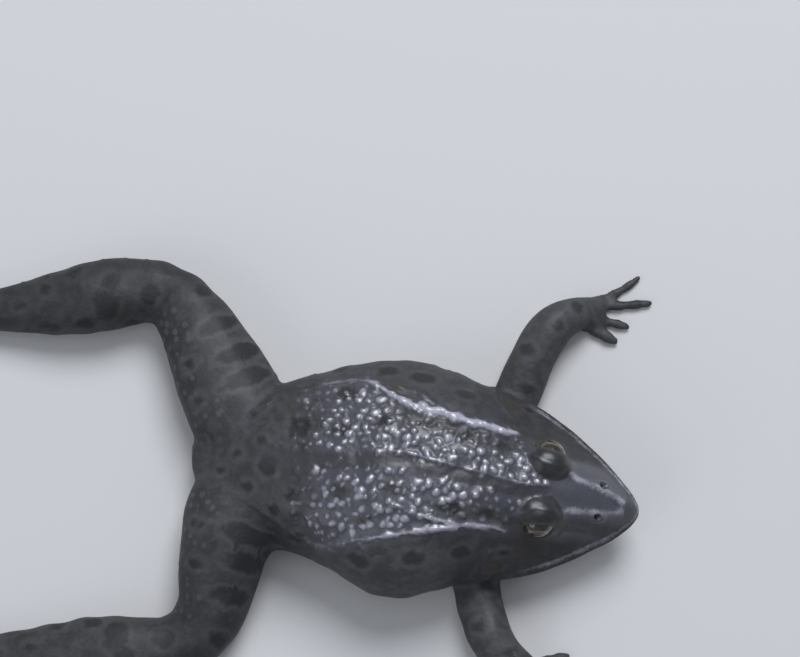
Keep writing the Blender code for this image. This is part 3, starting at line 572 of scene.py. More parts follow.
def in_hands(points):
    """Whether each point lies within reach of a hand."""
    return sum(far_from(points, place) < reach for place, reach in HAND_ZONES) > 0


skin_x, skin_y, skin_z = skin_points.T
back_zone = (np.minimum(*fold_gaps(skin_points)) > -2.0) & (skin_x > -22.0) & (skin_z > 13.0)
head_zone = (skin_x > 12.5) & (np.abs(skin_y + 2.5) < 18.5) & (skin_z > 6.0)
refined(skin_mesh, back_zone | head_zone | in_hands(skin_points))
skin_points = points_of(skin_mesh)
lid_zone = sum(near(skin_points, eye_centre(side), LID_RADIUS) for side in (1, -1)) > 0.33
refined(skin_mesh, lid_zone)
skin_points = relaxed(points_of(skin_mesh), skin_mesh, 0.5, 4, back=EVEN_BACK)
at_tips = np.clip(sum(near(skin_points, tip, TIP_EASE[0]) for tip in digit_tips), 0.0, 1.0)
skin_points = relaxed(skin_points, skin_mesh, 0.5 * at_tips, TIP_EASE[1])


def normals_at(mesh, points):
    """The mesh's outward unit vectors once its points stand where they are given."""
    mesh.vertices.foreach_set("co", (points * MM).ravel())
    mesh.update()
    return read(mesh.vertices, "normal", 3)


skin_normals = normals_at(skin_mesh, skin_points)
skin_x, skin_y, skin_z = skin_points.T
topside = ease(skin_normals[:, 2], -0.1, 0.25)
varied = 1.0 + FOLD_BEADS * ripple(skin_points, 2.2, 5)
fold_raise = np.zeros(len(skin_points))
# Paleness of the folds: their own pale colour with a painted sheen on it, and a painted highlight on the
# spine's ridge.
fold_pale_and_glint = np.zeros(len(skin_points))
for course, span, half_widths, heights, paleness in FOLDS:
    risen = ease(skin_x, *span)
    half_width = between(half_widths, risen) * np.clip(varied, 0.6, 1.4)
    field = ridge_field(skin_points, back_line(course), half_width) * topside
    fold_raise = np.maximum(fold_raise, between(heights, risen) * field * np.clip(varied, 0.5, 1.4))
    fold_pale_and_glint = np.maximum(fold_pale_and_glint, paleness * field * (0.4 + 0.6 * risen))

# The back between the folds is warty: low round glands stand close together, large ones and small
# ones between them, with a smooth band left free beside the spine. Flanks and thighs carry few.
WART_SPACING, GRAIN_SPACING = 1.8, 1.15
WART_RADIUS, WART_HEIGHT = (0.58, 1.05), (0.16, 0.33)
GRAIN_RADIUS, GRAIN_HEIGHT = (0.34, 0.55), (0.03, 0.09)
WART_ROW, WART_STRAY = 0.87, 0.32         # rows' spacing and random moves, over the warts' spacing
SPINE_BAND = (
    (-30.0, -0.6), (-16.8, -0.9), (-9.8, -0.5), (-2.8, -0.2),
    (3.4, -1.2), (9.6, -2.2), (15.8, -3.2), (22.0, -3.8),
)
SPINE_BAND_HALF = 1.25
FOLD_FREE, LID_FREE = 1.1, 0.3            # how far warts keep from the folds and from the lids
FLANK_WARTS = 300
FLANK_RADIUS, FLANK_HEIGHT = (0.5, 0.9), (0.05, 0.16)
WART_SWAY = (2.6, 0.10)   # length and height of the waves that make the warts uneven
LARGE_UNEVEN, SMALL_UNEVEN = (6.5, 0.09), (3.0, 0.05)      # width and height


def wart_bumps(points, places, radii, heights):
    """Highest of height * (1 - (d / radius)^2)^1.5 over all the warts within reach of each point."""
    raised = np.zeros(len(points))
    for start in range(0, len(points), CHUNK):
        block = points[start:start + CHUNK]
        square = np.sum((block[:, None] - places[None]) ** 2, axis=2) / radii[None] ** 2
        raised[start:start + CHUNK] = np.max(heights[None] * np.clip(1.0 - square, 0.0, 1.0) ** 1.5, axis=1)
    return raised


def back_warts(draw, spacing, radius_range, height_range):
    """Warts in staggered rows over the back, each moved a little at random, kept off the folds, the
    spine's band and the lids. Returns their places, radii and heights."""
    rows, columns = np.meshgrid(np.arange(-34.0, 25.0, spacing), np.arange(-18.0, 18.0, spacing * WART_ROW))
    rows = rows + np.where(np.arange(len(rows))[:, None] % 2, 0.5 * spacing, 0.0)
    x = (rows + draw.uniform(-WART_STRAY, WART_STRAY, rows.shape) * spacing).ravel()
    y = (columns + draw.uniform(-WART_STRAY, WART_STRAY, rows.shape) * spacing).ravel()
    size = draw.uniform(0.0, 1.0, x.size) ** 1.2
    places = np.stack((x, y, back_height(x, y)), axis=1)
    kept = np.minimum(*fold_gaps(places)) > FOLD_FREE
    kept &= np.abs(y - course_y(x, SPINE_BAND)) > SPINE_BAND_HALF
    for side in (1, -1):
        kept &= far_from(places, eye_centre(side)) > LID_RADIUS + LID_FREE
    fade = 0.25 + 0.75 * ease(x, -34.0, -19.0) * ease(25.0 - x, 0.0, 3.0)
    return places[kept], between(radius_range, size)[kept], (between(height_range, size) * fade)[kept]


draw = np.random.default_rng(11)
sway = np.stack([ripple(skin_points, WART_SWAY[0], seed) for seed in (21, 22, 23)], axis=1)
swayed = skin_points + WART_SWAY[1] * sway
raised_by_warts = wart_bumps(swayed, *back_warts(draw, WART_SPACING, WART_RADIUS, WART_HEIGHT))
raised_by_grain = wart_bumps(swayed, *back_warts(draw, GRAIN_SPACING, GRAIN_RADIUS, GRAIN_HEIGHT))
free = (topside > 0.5) & (raised_by_warts + raised_by_grain == 0.0)
candidates = np.flatnonzero(free & (skin_x < 12.0) & (skin_z > 5.0))
scattered = skin_points[draw.choice(candidates, FLANK_WARTS, replace=False)]
flank_radii = draw.uniform(*FLANK_RADIUS, FLANK_WARTS)
flank_heights = draw.uniform(*FLANK_HEIGHT, FLANK_WARTS)
wart_raise = np.maximum(raised_by_warts, wart_bumps(skin_points, scattered, flank_radii, flank_heights))
wart_raise = np.maximum(wart_raise, raised_by_grain)
from_left, from_right = fold_gaps(skin_points)
on_back = ease(np.minimum(from_left, from_right), -0.5, 1.0) * ease(skin_x, -24.0, -16.0)
on_back = on_back * ease(26.0 - skin_x, 0.0, 4.0) * topside
off_head = (1.0 - 0.75 * ease(skin_x, 14.0, 21.0)) * ease(skin_z, 2.0, 5.0)
uneven = LARGE_UNEVEN[1] * off_head * ripple(skin_points, LARGE_UNEVEN[0], 3)
uneven = uneven + SMALL_UNEVEN[1] * on_back * ripple(skin_points, SMALL_UNEVEN[0], 7)

# The mouth runs round the snout from one corner to the other: a thin closed slit with a full upper
# lip over it. Nostrils, eardrums, the fold over each eardrum and the ridges from eyes to snout are
# raised from the skin or sunk in it here too.
MOUTH_CORNER_X = 15.0
MOUTH_DROP = 0.45
MOUTH_SAMPLES = 500
SLIT_DEPTH, SLIT_HALF = 0.5, 0.24
LIP_RAISE, LIP_ABOVE, LIP_HALF = 0.2, 0.9, 0.7
JAW_INSET = 0.3
LIP_STRIPE = (1.9, 1.0)                   # height over the mouth and half width
CANTHUS = ((2.2, 3.9), (5.5, 2.9), (9.0, 2.3), (12.5, 1.5), (15.2, 0.5))     # ahead of the eyes, aside
CANTHUS_RAISE, CANTHUS_HALF = 0.34, 0.95
LOREAL = (7.0, 6.6, 3.0, 0.35)            # ahead, aside, reach and depth
NOSTRIL_AHEAD, NOSTRIL_APART = 10.4, 5.4
NOSTRIL_PIT, NOSTRIL_HALF, NOSTRIL_RIM = 0.9, 0.42, 0.24
NOSTRIL_RIM_AT, NOSTRIL_RIM_HALF, NOSTRIL_STRETCH = 0.8, 0.36, 1.35
EARDRUM_X, EARDRUM_Z, EARDRUM_RADIUS, EARDRUM_SKEW = 15.6, 13.2, 2.1, 0.8
EARDRUM_RIM, EARDRUM_RIM_HALF, EARDRUM_DIP = 0.13, 0.34, 0.08
EARDRUM_KNOB, EARDRUM_KNOB_HALF = 0.06, 0.7
EAR_FOLD = ((18.9, 14.9), (16.6, 16.3), (14.0, 15.9), (12.5, 13.6), (12.2, 10.6))     # (x, z)
EAR_FOLD_RAISE, EAR_FOLD_HALF, EAR_FOLD_SAMPLES = 0.34, 0.6, 90
HEAD_FROM_X = 11.0        # the skin ahead of this is given the head's forms


def mouth_line():
    """Line round the head at its widest height, lowered a little, from the left corner to the right."""
    share = np.linspace(0.0, 1.0, 400)
    x = MOUTH_CORNER_X + (SPINE_X[-1] - 0.2 - MOUTH_CORNER_X) * (1.0 - (1.0 - share) ** 2.2)
    centre, width, _, side, _, _, _ = trunk_values(x)
    left = np.stack((x, centre + width, side - MOUTH_DROP), axis=1)
    right = np.stack((x, centre - width, side - MOUTH_DROP), axis=1)
    line = np.concatenate((left, right[::-1]))
    length = stations_along(line)
    return on_line(np.linspace(0.0, length[-1], MOUTH_SAMPLES), length, line)


def cheek_point(x, z, side):
    """Point on the side of the head at a height, by turning the back's formula round."""
    centre, width, top, edge, _, span, lift = [float(value) for value in trunk_values(x)]
    rise = np.clip((z - edge) / (top - edge), 0.0, 1.0)
    return np.array((x, centre + side * width * (1.0 - rise ** (1.0 / lift)) ** (1.0 / span), z))


def on_head(ahead, aside):
    """Point on top of the head, so far ahead of the eyes' middle and so far to its left."""
    place = head_place(ahead, aside)
    place[2] = back_height(place[0], place[1])
    return place


head_part = skin_x > HEAD_FROM_X
head_points = skin_points[head_part]
mouth = mouth_line()
lip_gap, lip_place = nearest(head_points, mouth)
lip_above = head_points[:, 2] - np.interp(lip_place, np.linspace(0.0, 1.0, MOUTH_SAMPLES), mouth[:, 2])
from_corner = np.minimum(lip_place, 1.0 - lip_place)
at_lip = ease(3.4 - lip_gap, 0.0, 1.4) * ease(from_corner, 0.0, 0.015)
head_raise = LIP_RAISE * bell(lip_above - LIP_ABOVE, LIP_HALF) - JAW_INSET * ease(-lip_above, 0.1, 0.7)
head_raise = at_lip * head_raise
slit = at_lip * bell(lip_above, SLIT_HALF)
head_raise -= SLIT_DEPTH * slit
lip_pale = at_lip * bell(lip_above - LIP_STRIPE[0], LIP_STRIPE[1]) * ease(from_corner, 0.01, 0.16)
canthus_field, nostril_field, drum_field = np.zeros((3, len(head_points)))
for side in (1, -1):
    course = [head_place(forward, side * aside)[:2] for forward, aside in CANTHUS]
    canthus_field = np.maximum(canthus_field, ridge_field(head_points, back_line(course), CANTHUS_HALF))
    hollow = on_head(LOREAL[0], side * LOREAL[1])
    head_raise -= LOREAL[3] * near(head_points, hollow, LOREAL[2])
    away = head_points - on_head(NOSTRIL_AHEAD, side * 0.5 * NOSTRIL_APART)
    forward = away @ HEAD_FORWARD / NOSTRIL_STRETCH
    gap = np.sqrt(forward**2 + (away @ HEAD_LEFT) ** 2 + (0.5 * away[:, 2]) ** 2)
    head_raise += NOSTRIL_RIM * bell(gap - NOSTRIL_RIM_AT, NOSTRIL_RIM_HALF)
    pit = bell(gap, NOSTRIL_HALF)
    head_raise -= NOSTRIL_PIT * pit
    nostril_field = np.maximum(nostril_field, pit)
    gap = far_from(head_points, cheek_point(EARDRUM_X + EARDRUM_SKEW * side, EARDRUM_Z, side))
    head_raise += EARDRUM_RIM * bell(gap - EARDRUM_RADIUS, EARDRUM_RIM_HALF)
    head_raise -= EARDRUM_DIP * ease(EARDRUM_RADIUS - gap, 0.1, 0.9)
    head_raise += EARDRUM_KNOB * bell(gap, EARDRUM_KNOB_HALF)
    drum_field = np.maximum(drum_field, ease(EARDRUM_RADIUS - gap, 0.0, 0.5))
    stops = np.array([cheek_point(x + EARDRUM_SKEW * side, z, side) for x, z in EAR_FOLD])
    ear_line = smooth(np.linspace(0.0, len(stops) - 1.0, EAR_FOLD_SAMPLES), np.arange(len(stops)), stops)
    head_raise += EAR_FOLD_RAISE * ridge_field(head_points, ear_line, EAR_FOLD_HALF)
head_raise += CANTHUS_RAISE * canthus_field
total_raise = fold_raise + wart_raise + uneven
total_raise[head_part] += head_raise
skin_points = skin_points + total_raise[:, None] * skin_normals

# Each lid opens in a slanted oval over the eye: thin at its edge, where it lies on the eyeball, and
# thicker outwards, with a crease across the upper lid. Inside the opening the skin is behind the eye.
LID_HALF_LENGTH, LID_UP, LID_DOWN = 0.80, 0.44, 0.64     # of the opening, as shares of the ball's radius
LID_EDGE_OVER = 0.3       # how far the lid's edge stands off the eyeball
LID_CREASE = (0.14, 1.5, 0.16)            # depth, place and half width, as the oval counts them
BEHIND_EYE = 2.6          # distance of the hidden skin from the eye's middle
lid_edge_field, lid_field = np.zeros((2, len(skin_points)))
for side in (1, -1):
    along, rise, out = gaze_axes(side)
    away = skin_points - eye_centre(side)
    radius = np.linalg.norm(away, axis=1)
    facing = away / radius[:, None]
    u, v, w = facing @ along, facing @ rise, facing @ out
    oval = np.sqrt((u / LID_HALF_LENGTH) ** 2 + (v / np.where(v > 0.0, LID_UP, LID_DOWN)) ** 2)
    in_reach = (w > 0.0) & (radius < LID_RADIUS + 1.2)
    hold = np.maximum(ease(oval, 1.0, 1.75), ease(0.55 - w, 0.0, 0.45))
    outside = EYE_RADIUS + LID_EDGE_OVER + (radius - EYE_RADIUS - LID_EDGE_OVER) * hold
    outside -= LID_CREASE[0] * bell(oval - LID_CREASE[1], LID_CREASE[2]) * ease(v, 0.1, 0.4)
    target = BEHIND_EYE + (outside - BEHIND_EYE) * ease(oval, 0.93, 1.0)
    skin_points = np.where(in_reach[:, None], eye_centre(side) + target[:, None] * facing, skin_points)
    lid_edge_field = np.maximum(lid_edge_field, bell(oval - 1.05, 0.10) * in_reach * ease(w, 0.3, 0.5))
    on_ball = ease(LID_RADIUS + 0.9 - radius, 0.0, 0.8)
    lid_field = np.maximum(lid_field, on_ball * ease(away[:, 2], -0.5, 1.5))
skin_points[:, 2] = np.maximum(skin_points[:, 2], 0.0)
skin_normals = normals_at(skin_mesh, skin_points)
skin_x, skin_y, skin_z = skin_points.T

# The markings, pigment in the skin itself: dark rounded spots, bars across the thighs, ovals on the
# shanks, a pale stripe on the lip and ridges, and a cream belly. Painted light is laid in with them:
# a lavender painted sheen on the wet skin, painted glints on warts, folds and ridges, painted shade in
# the mouth's slit and nostrils, and patches painted lighter or darker to stand in for uneven light.
# Each is a field over the skin's points, which the finish turns into colour with ragged edges.
BODY_SPOTS = (      # (x, y, half length, half width)
    (-21.0, 5.0, 2.1, 1.9), (-25.9, -2.0, 2.0, 1.8), (-31.8, 0.3, 1.0, 0.9), (-21.1, -7.2, 1.4, 1.1),
    (-27.3, 2.6, 0.9, 0.8), (-31.7, 4.0, 0.8, 0.8), (-29.4, -5.6, 1.2, 1.0), (-12.8, 11.6, 2.0, 1.6),
    (-24.4, -9.6, 0.9, 0.8), (-34.6, -2.6, 0.7, 0.7), (-29.6, 7.4, 0.8, 0.7),
    (-6.0, 16.6, 1.9, 1.5), (0.2, 15.6, 2.4, 1.5), (8.0, 13.2, 1.8, 1.3), (-14.5, 17.0, 1.7, 1.3),
    (-13.6, 4.8, 1.7, 1.3), (-6.2, 6.8, 1.8, 1.2), (1.6, 6.0, 2.0, 1.2), (8.6, 5.0, 2.4, 1.1),
    (15.2, 4.0, 1.7, 0.9), (-13.0, -6.2, 1.7, 1.3), (-8.4, -11.0, 1.5, 1.1), (-4.0, -5.0, 1.5, 1.0),
    (6.8, -8.0, 2.4, 1.2), (13.0, -8.2, 1.5, 1.0), (-20.0, -14.0, 1.6, 1.3), (-9.0, -17.8, 1.9, 1.4),
    (0.6, -16.8, 1.9, 1.4), (9.0, -15.2, 1.5, 1.2), (19.6, 12.2, 0.9, 0.7), (16.6, -14.2, 1.0, 0.8),
)
LEG_MARKS = (       # (running length, degrees from the top towards the front, half length, half width)
    (13.8, 30.0, 1.7, 5.4), (18.7, 42.0, 1.7, 5.2), (24.8, 34.0, 1.4, 4.6), (31.2, 50.0, 1.1, 2.4),
    (20.5, -34.0, 0.9, 1.5), (14.0, -40.0, 0.8, 1.3), (38.7, -15.0, 2.3, 1.9), (46.0, 8.0, 1.7, 2.1),
    (47.3, -25.0, 2.1, 2.9), (52.4, 44.0, 1.4, 1.6), (51.6, -56.0, 1.6, 1.5), (43.3, -80.0, 1.5, 1.3),
    (57.7, 20.0, 0.9, 1.1), (57.9, -62.0, 1.6, 1.5), (62.5, -8.0, 1.0, 0.9), (62.3, -76.0, 1.1, 1.2),
    (68.0, 20.0, 1.1, 1.5), (72.6, -12.0, 1.1, 1.6), (81.0, 0.0, 1.1, 2.2), (87.4, 0.0, 1.2, 2.0),
    (94.6, 0.0, 1.2, 1.8),
)
ARM_MARKS = (
    (16.4, 24.0, 0.9, 1.5), (23.0, -20.0, 1.1, 1.5), (29.0, 18.0, 0.9, 1.2), (33.4, -10.0, 0.8, 1.4),
)
LEG_MARKS_FROM, ARM_MARKS_FROM = 8.0, 13.0     # running lengths where the limbs leave the body
AXIS_STEP = 0.4
THIGH_LENGTH = 35.0
ON_LIMB = 1.3             # skin within this many of a limb's radii of its axis belongs to the limb
LID_DARK = 1.75           # the lids count as a spot, at this distance less their own field
FAR_OFF = 3.0             # a spot's field where no spot is near
SOFT_SIZE = 2.1           # a spot of this size has the field's own edge, and smaller ones a softer one
HALO, THIGH_HALO = 0.35, 0.75             # how strong the pale border of a spot is
MOIST_X, MOIST_Z, MOIST_FRAY = -18.0, 10.5, 1.2     # behind and below these the skin is dull
DULL_BAND, DULLER = 4.4, 0.72             # reach and strength of the duller skin inside each fold
DULL_BAND_START = (-8.0, -1.0)            # where that skin begins, on the left and on the right
HEAD_MOIST = (5.5, 9.5)   # how far from the head's midline its gloss begins to fade and is gone
DULL_GLOSS, FLAT_GLOSS, HEAD_GLOSS, LID_GLOSS = 0.03, 0.22, 0.44, 0.75
# The ridges from eyes to snout are pale partly in their own colour and partly as a painted highlight; the
# lip stripe is the lip's own colour.
CANTHUS_PALE_AND_GLINT, LIP_PALE, SLIT_SHADE = 0.62, 0.55, 0.8
# Patches of painted light and shade: the skin is painted lighter or darker here to stand in for uneven
# light, not for its own colour.
LIGHT_AND_SHADE_PATCHES = (       # middle, half sizes, and how much lighter the skin is there
    ((25.0, 27.0), (14.0, 14.0), 0.30), ((19.0, -29.0), (14.0, 12.0), 0.25),
    ((-64.0, 36.0), (34.0, 12.0), -0.28), ((-30.0, 0.0), (9.0, 12.0), 0.22),
    ((-5.0, -18.0), (12.0, 5.0), 0.45), ((-30.0, -28.0), (14.0, 16.0), -0.30),
    ((26.0, -14.0), (10.0, 5.0), -0.25), ((26.0, 10.0), (10.0, 5.0), -0.20),
)


def limb_place(points, stations, side):
    """Running length of each point along a limb, its angle from the limb's top towards the front in
    degrees, its distance from the axis as a share of the limb's own radius there, and that radius."""
    length = stations_along(stations)
    at = np.arange(0.0, length[-1], AXIS_STEP)
    middle, wide, high, _, across, lift = limb_axis(stations, at)
    _, place = nearest(points, middle)
    row = np.rint(place * (len(middle) - 1)).astype(int)
    away = points - middle[row]
    level = np.sum(away * across[row], axis=1) / wide[row]
    rise = np.sum(away * lift[row], axis=1) / high[row]
    angle = np.degrees(np.arctan2(rise, level))
    turn = side * (((angle - 90.0) + 180.0) % 360.0 - 180.0)
    return at[row], turn, np.hypot(level, rise), 0.5 * (wide[row] + high[row])


def spot_distance(along, across, half_length, half_width):
    """1 + (d - 1) * size / soft size, with d the distance in units of the spot's own half sizes."""
    d = np.hypot(along / half_length, across / half_width)
    return 1.0 + (d - 1.0) * np.sqrt(half_length * half_width) / SOFT_SIZE


def marks_on_limb(place, marks, first):
    """Smallest of the spot distances to a limb's marks, from the first running length onwards."""
    length, turn, share, radius = place
    field = np.full(len(length), FAR_OFF)
    for start, angle, half_length, half_width in marks:
        arc = radius * np.radians((turn - angle + 180.0) % 360.0 - 180.0)
        field = np.minimum(field, spot_distance(length - start, arc, half_length, half_width))
    return np.where((share < ON_LIMB) & (length > first), field, FAR_OFF)


spot_field = np.full(len(skin_points), FAR_OFF)
for x, y, half_length, half_width in BODY_SPOTS:
    away = skin_points - np.array((x, y, back_height(x, y)))
    across = np.hypot(away[:, 1], away[:, 2])
    spot_field = np.minimum(spot_field, spot_distance(away[:, 0], across, half_length, half_width))
thigh_rear, mouth_nostril_shade, drum_tint = np.zeros((3, len(skin_points)))
halo_field = np.full(len(skin_points), HALO)
for side, leg, arm in ((1, LEG_LEFT, ARM_LEFT), (-1, LEG_RIGHT, ARM_RIGHT)):
    leg_place = limb_place(skin_points, leg, side)
    arm_place = limb_place(skin_points, arm, side)
    spot_field = np.minimum(spot_field, marks_on_limb(leg_place, LEG_MARKS, LEG_MARKS_FROM))
    spot_field = np.minimum(spot_field, marks_on_limb(arm_place, ARM_MARKS, ARM_MARKS_FROM))
    length, turn, share, _ = leg_place
    rear = ease(-turn, -6.0, 25.0) * ease(130.0 + turn, 0.0, 30.0)
    on_thigh = ease(length, 6.0, 12.0) * ease(THIGH_LENGTH - length, 0.0, 4.0) * (share < ON_LIMB)
    thigh_rear = np.maximum(thigh_rear, rear * on_thigh)
    halo_field = np.maximum(halo_field, THIGH_HALO * on_thigh)
spot_field = np.minimum(spot_field, LID_DARK - lid_field)
spine_gap = np.abs(skin_y - course_y(skin_x, SPINE_BAND))
on_spine = ease(skin_x, -30.0, -22.0) * ease(24.5 - skin_x, 0.0, 2.0) * topside
band_field = ease(SPINE_BAND_HALF + 0.6 - spine_gap, 0.0, 0.8) * on_spine
belly_field = ease(-skin_normals[:, 2], 0.05, 0.75) * ease(9.5 - skin_z, 0.0, 4.0)
# The wet field sets gloss and roughness, and it also places a painted lavender sheen on the colour.
wet_field = ease(skin_x + MOIST_FRAY * ripple(skin_points, 5.0, 13), MOIST_X - 4.0, MOIST_X + 3.0)
wet_field = wet_field * ease(skin_z, MOIST_Z - 1.0, MOIST_Z + 3.0)
wet_field = wet_field * ease(from_right, -2.2, 0.4) * (0.12 + 0.88 * ease(from_left, -2.2, 0.4))
for gap, start in zip((from_left, from_right), DULL_BAND_START):
    beside = ease(gap, 0.7, 1.5) * ease(DULL_BAND - gap, 0.0, 1.8) * ease(skin_x, start, start + 8.0)
    wet_field = wet_field * (1.0 - DULLER * beside)
head_aside = np.abs((skin_points - EYE_MIDDLE) @ HEAD_LEFT)
wet_field = wet_field * (1.0 - 0.9 * ease(skin_x, 14.0, 19.0) * ease(head_aside, *HEAD_MOIST))
# Ridges from eyes to snout: own pale stripe plus painted highlight; lip stripe: own colour.
head_pale_and_glint = np.maximum(CANTHUS_PALE_AND_GLINT * canthus_field, LIP_PALE * lip_pale)
fold_pale_and_glint[head_part] = np.maximum(fold_pale_and_glint[head_part], head_pale_and_glint)
# Painted shade: the mouth's slit and the nostril pits are darkened as the shade inside them would darken
# them.
mouth_nostril_shade[head_part] = np.maximum(SLIT_SHADE * slit, nostril_field)
drum_tint[head_part] = drum_field
wet_field = wet_field * (1.0 - 0.9 * drum_tint)
raised = np.maximum(ease(wart_raise, 0.03, 0.14), ease(fold_raise, 0.08, 0.3))
glossy = np.maximum(raised, between((FLAT_GLOSS, HEAD_GLOSS), ease(skin_x, 20.0, 27.0)))
glossy = glossy * (1.0 - (1.0 - LID_GLOSS) * np.clip(lid_field, 0.0, 1.0))
# Painted light and shade: a factor above 1 where light is painted on, below 1 where shade is.
light_and_shade_field = np.ones(len(skin_points))
for place, reach, amount in LIGHT_AND_SHADE_PATCHES:
    away = (skin_points[:, :2] - np.array(place)) / np.array(reach)
    light_and_shade_field += amount * ease(1.3 - np.linalg.norm(away, axis=1), 0.0, 0.6)
FIELDS = {
    # The pale field holds the folds' and ridges' own paleness with painted sheen and highlight on them.
    "spot": spot_field, "pale": fold_pale_and_glint, "band": band_field, "belly": belly_field, "wet": wet_field,
    # The warts' tops are partly pale of their own and partly a painted glint, stronger where the skin is
    # wet.
    "wart_pale_and_glint": (0.2 + 0.8 * wet_field) * np.clip(wart_raise / WART_HEIGHT[1], 0.0, 1.0),
    # Painted shade in the mouth's slit and the nostrils.
    "painted_deep_shade": mouth_nostril_shade, "lid_edge": lid_edge_field, "drum": drum_tint, "thigh_rear": thigh_rear,
    # The factor of painted light and shade rides in this line too.
    "gloss": DULL_GLOSS + wet_field * glossy, "painted_light_and_shade": light_and_shade_field, "halo": halo_field,
}
for name, values in FIELDS.items():
    layer = skin_mesh.attributes.new(name, "FLOAT", "POINT")
    layer.data.foreach_set("value", values.astype(np.float32))

# The finished skin: the mesh is thinned where it is plain, underneath and along the limbs, and then
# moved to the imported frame. It rides on the one body and stands for every node of flesh.
MOST_TRIANGLES = 194000
fine_zone = topside * (skin_x > -26.0) * (skin_z > 5.0) * (np.abs(skin_y) < 26.0)
fine_zone = np.maximum(fine_zone, in_hands(skin_points))
skin_mesh.vertices.foreach_set("co", ((skin_points + SHIFT) * MM).ravel())
full = placed("full_skin", skin_mesh)
plain = full.vertex_groups.new(name="plain")
plain.add(np.flatnonzero(fine_zone < 0.5).tolist(), 1.0, "REPLACE")
triangles = sum(len(face.vertices) - 2 for face in skin_mesh.polygons)
thin = full.modifiers.new("thin", "DECIMATE")
thin.ratio = min(1.0, MOST_TRIANGLES / triangles)
thin.vertex_group = "plain"
thin.vertex_group_factor = 1.0
finished = settled(full)
finished.shade_smooth()
skin = placed("skin", finished)
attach(skin, "root")
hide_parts(*FLESH)

# The skin's finish: thin moist skin, dark grey and finely mottled, in one piece with the body. The
# back and the top of the head are wet and glossy, most of all on warts and folds. The rest is dull.
# Its colour also holds painted light: a lavender painted sheen on the wet skin, painted glints on warts,
# folds and ridges, painted shade in the mouth's slit and nostrils, and patches painted lighter or darker.
GROUND_DARK = (0.028, 0.028, 0.029, 1.0)
GROUND_LIGHT = (0.049, 0.049, 0.051, 1.0)
GROUND_WARM = (0.042, 0.038, 0.031, 1.0)
SPOT_COLOUR = (0.017, 0.017, 0.018, 1.0)
HALO_COLOUR = (0.068, 0.068, 0.070, 1.0)
FLECK_COLOUR = (0.082, 0.082, 0.083, 1.0)
# The warts' pale lavender tops are partly their own colour and partly a painted glint.
WART_PALE_AND_GLINT_COLOUR = (0.320, 0.316, 0.378, 1.0)
# The folds' pale lavender is partly their own colour and partly a painted sheen.
FOLD_PALE_AND_SHEEN_COLOUR = (0.380, 0.375, 0.430, 1.0)
# The wet skin's colour is a painted sheen: a lavender tint standing in for a reflection of the sky.
WET_SHEEN_COLOUR = (0.066, 0.066, 0.084, 1.0)
BAND_COLOUR = (0.036, 0.036, 0.040, 1.0)
BELLY_COLOUR = (0.360, 0.345, 0.300, 1.0)
# Near black, as painted shade in the mouth's slit and the nostril pits.
DEEP_SHADE_COLOUR = (0.006, 0.005, 0.005, 1.0)
DRUM_COLOUR = (0.040, 0.036, 0.030, 1.0)
LID_EDGE_COLOUR = (0.060, 0.054, 0.044, 1.0)
DULL_ROUGHNESS, WET_ROUGHNESS = 0.62, 0.42
COAT_ROUGHNESS, COAT_INDEX, SKIN_SHEEN = 0.29, 1.8, 0.32
BROAD_SIZE, MEDIUM_SIZE, SPECKLE_SIZE, FINE_SIZE, PEPPER_SIZE = 9.0, 1.9, 1.0, 0.55, 0.16
FLECK_SPACING = 1.7
PEBBLE_SIZE, PEBBLE_DEPTH, PORE_SIZE, PORE_DEPTH = 0.62, 0.12, 0.22, 0.05


class Finish:
    """A new material, with helpers that add nodes to it. A value handed to a helper is a number, a
    colour or the output of another node."""

    def __init__(self, name):
        self.material = bpy.data.materials.new(name)
        self.material.use_nodes = True
        self.tree = self.material.node_tree
        self.shader = self.tree.nodes["Principled BSDF"]

    def fill(self, node, sockets):
        """Sets or links a node's sockets, given by number, or by name with _ for each space."""
        for key, value in sockets.items():
            socket = node.inputs[key.replace("_", " ") if isinstance(key, str) else key]
            if isinstance(value, bpy.types.NodeSocket):
                self.tree.links.new(value, socket)
            else:
                socket.default_value = value

    def add(self, kind, settings=None, **sockets):
        """A node with its settings and its sockets."""
        made = self.tree.nodes.new(kind)
        for name, value in (settings or {}).items():
            setattr(made, name, value)
        self.fill(made, sockets)
        return made

    def blend(self, share, first, second):
        """Colour first where share is 0, and second where it is 1."""
        made = self.add("ShaderNodeMix", {"data_type": "RGBA"})
        self.fill(made, {0: share, 6: first, 7: second})
        return made.outputs[2]

    def work(self, operation, first, second=0.0):
        """Math on two values."""
        made = self.add("ShaderNodeMath", {"operation": operation})
        self.fill(made, {0: first, 1: second})
        return made.outputs[0]

    def times(self, first, second):
        """The one value times the other."""
        return self.work("MULTIPLY", first, second)

    def step(self, value, low, high, bottom=0.0, top=1.0):
        """Smooth step from bottom to top as value goes from low to high."""
        return self.add("ShaderNodeMapRange", {"interpolation_type": "SMOOTHSTEP"}, Value=value,
                        From_Min=low, From_Max=high, To_Min=bottom, To_Max=top).outputs[0]

    def grain(self, place, size, detail=3.0, roughness=0.55):
        """Noise from 0 to 1 whose lumps are about size millimetres wide."""
        return self.add("ShaderNodeTexNoise", Vector=place, Scale=1.0 / (size * MM), Detail=detail,
                        Roughness=roughness).outputs[0]

    def frayed(self, value, noise, amount):
        """A field with noise of the given amount added, so that its edges come out ragged."""
        return self.work("ADD", value, self.times(self.work("SUBTRACT", noise, 0.5), amount))

    def layer(self, name):
        """A field of the mesh."""
        return self.add("ShaderNodeAttribute", {"attribute_name": name}).outputs["Fac"]


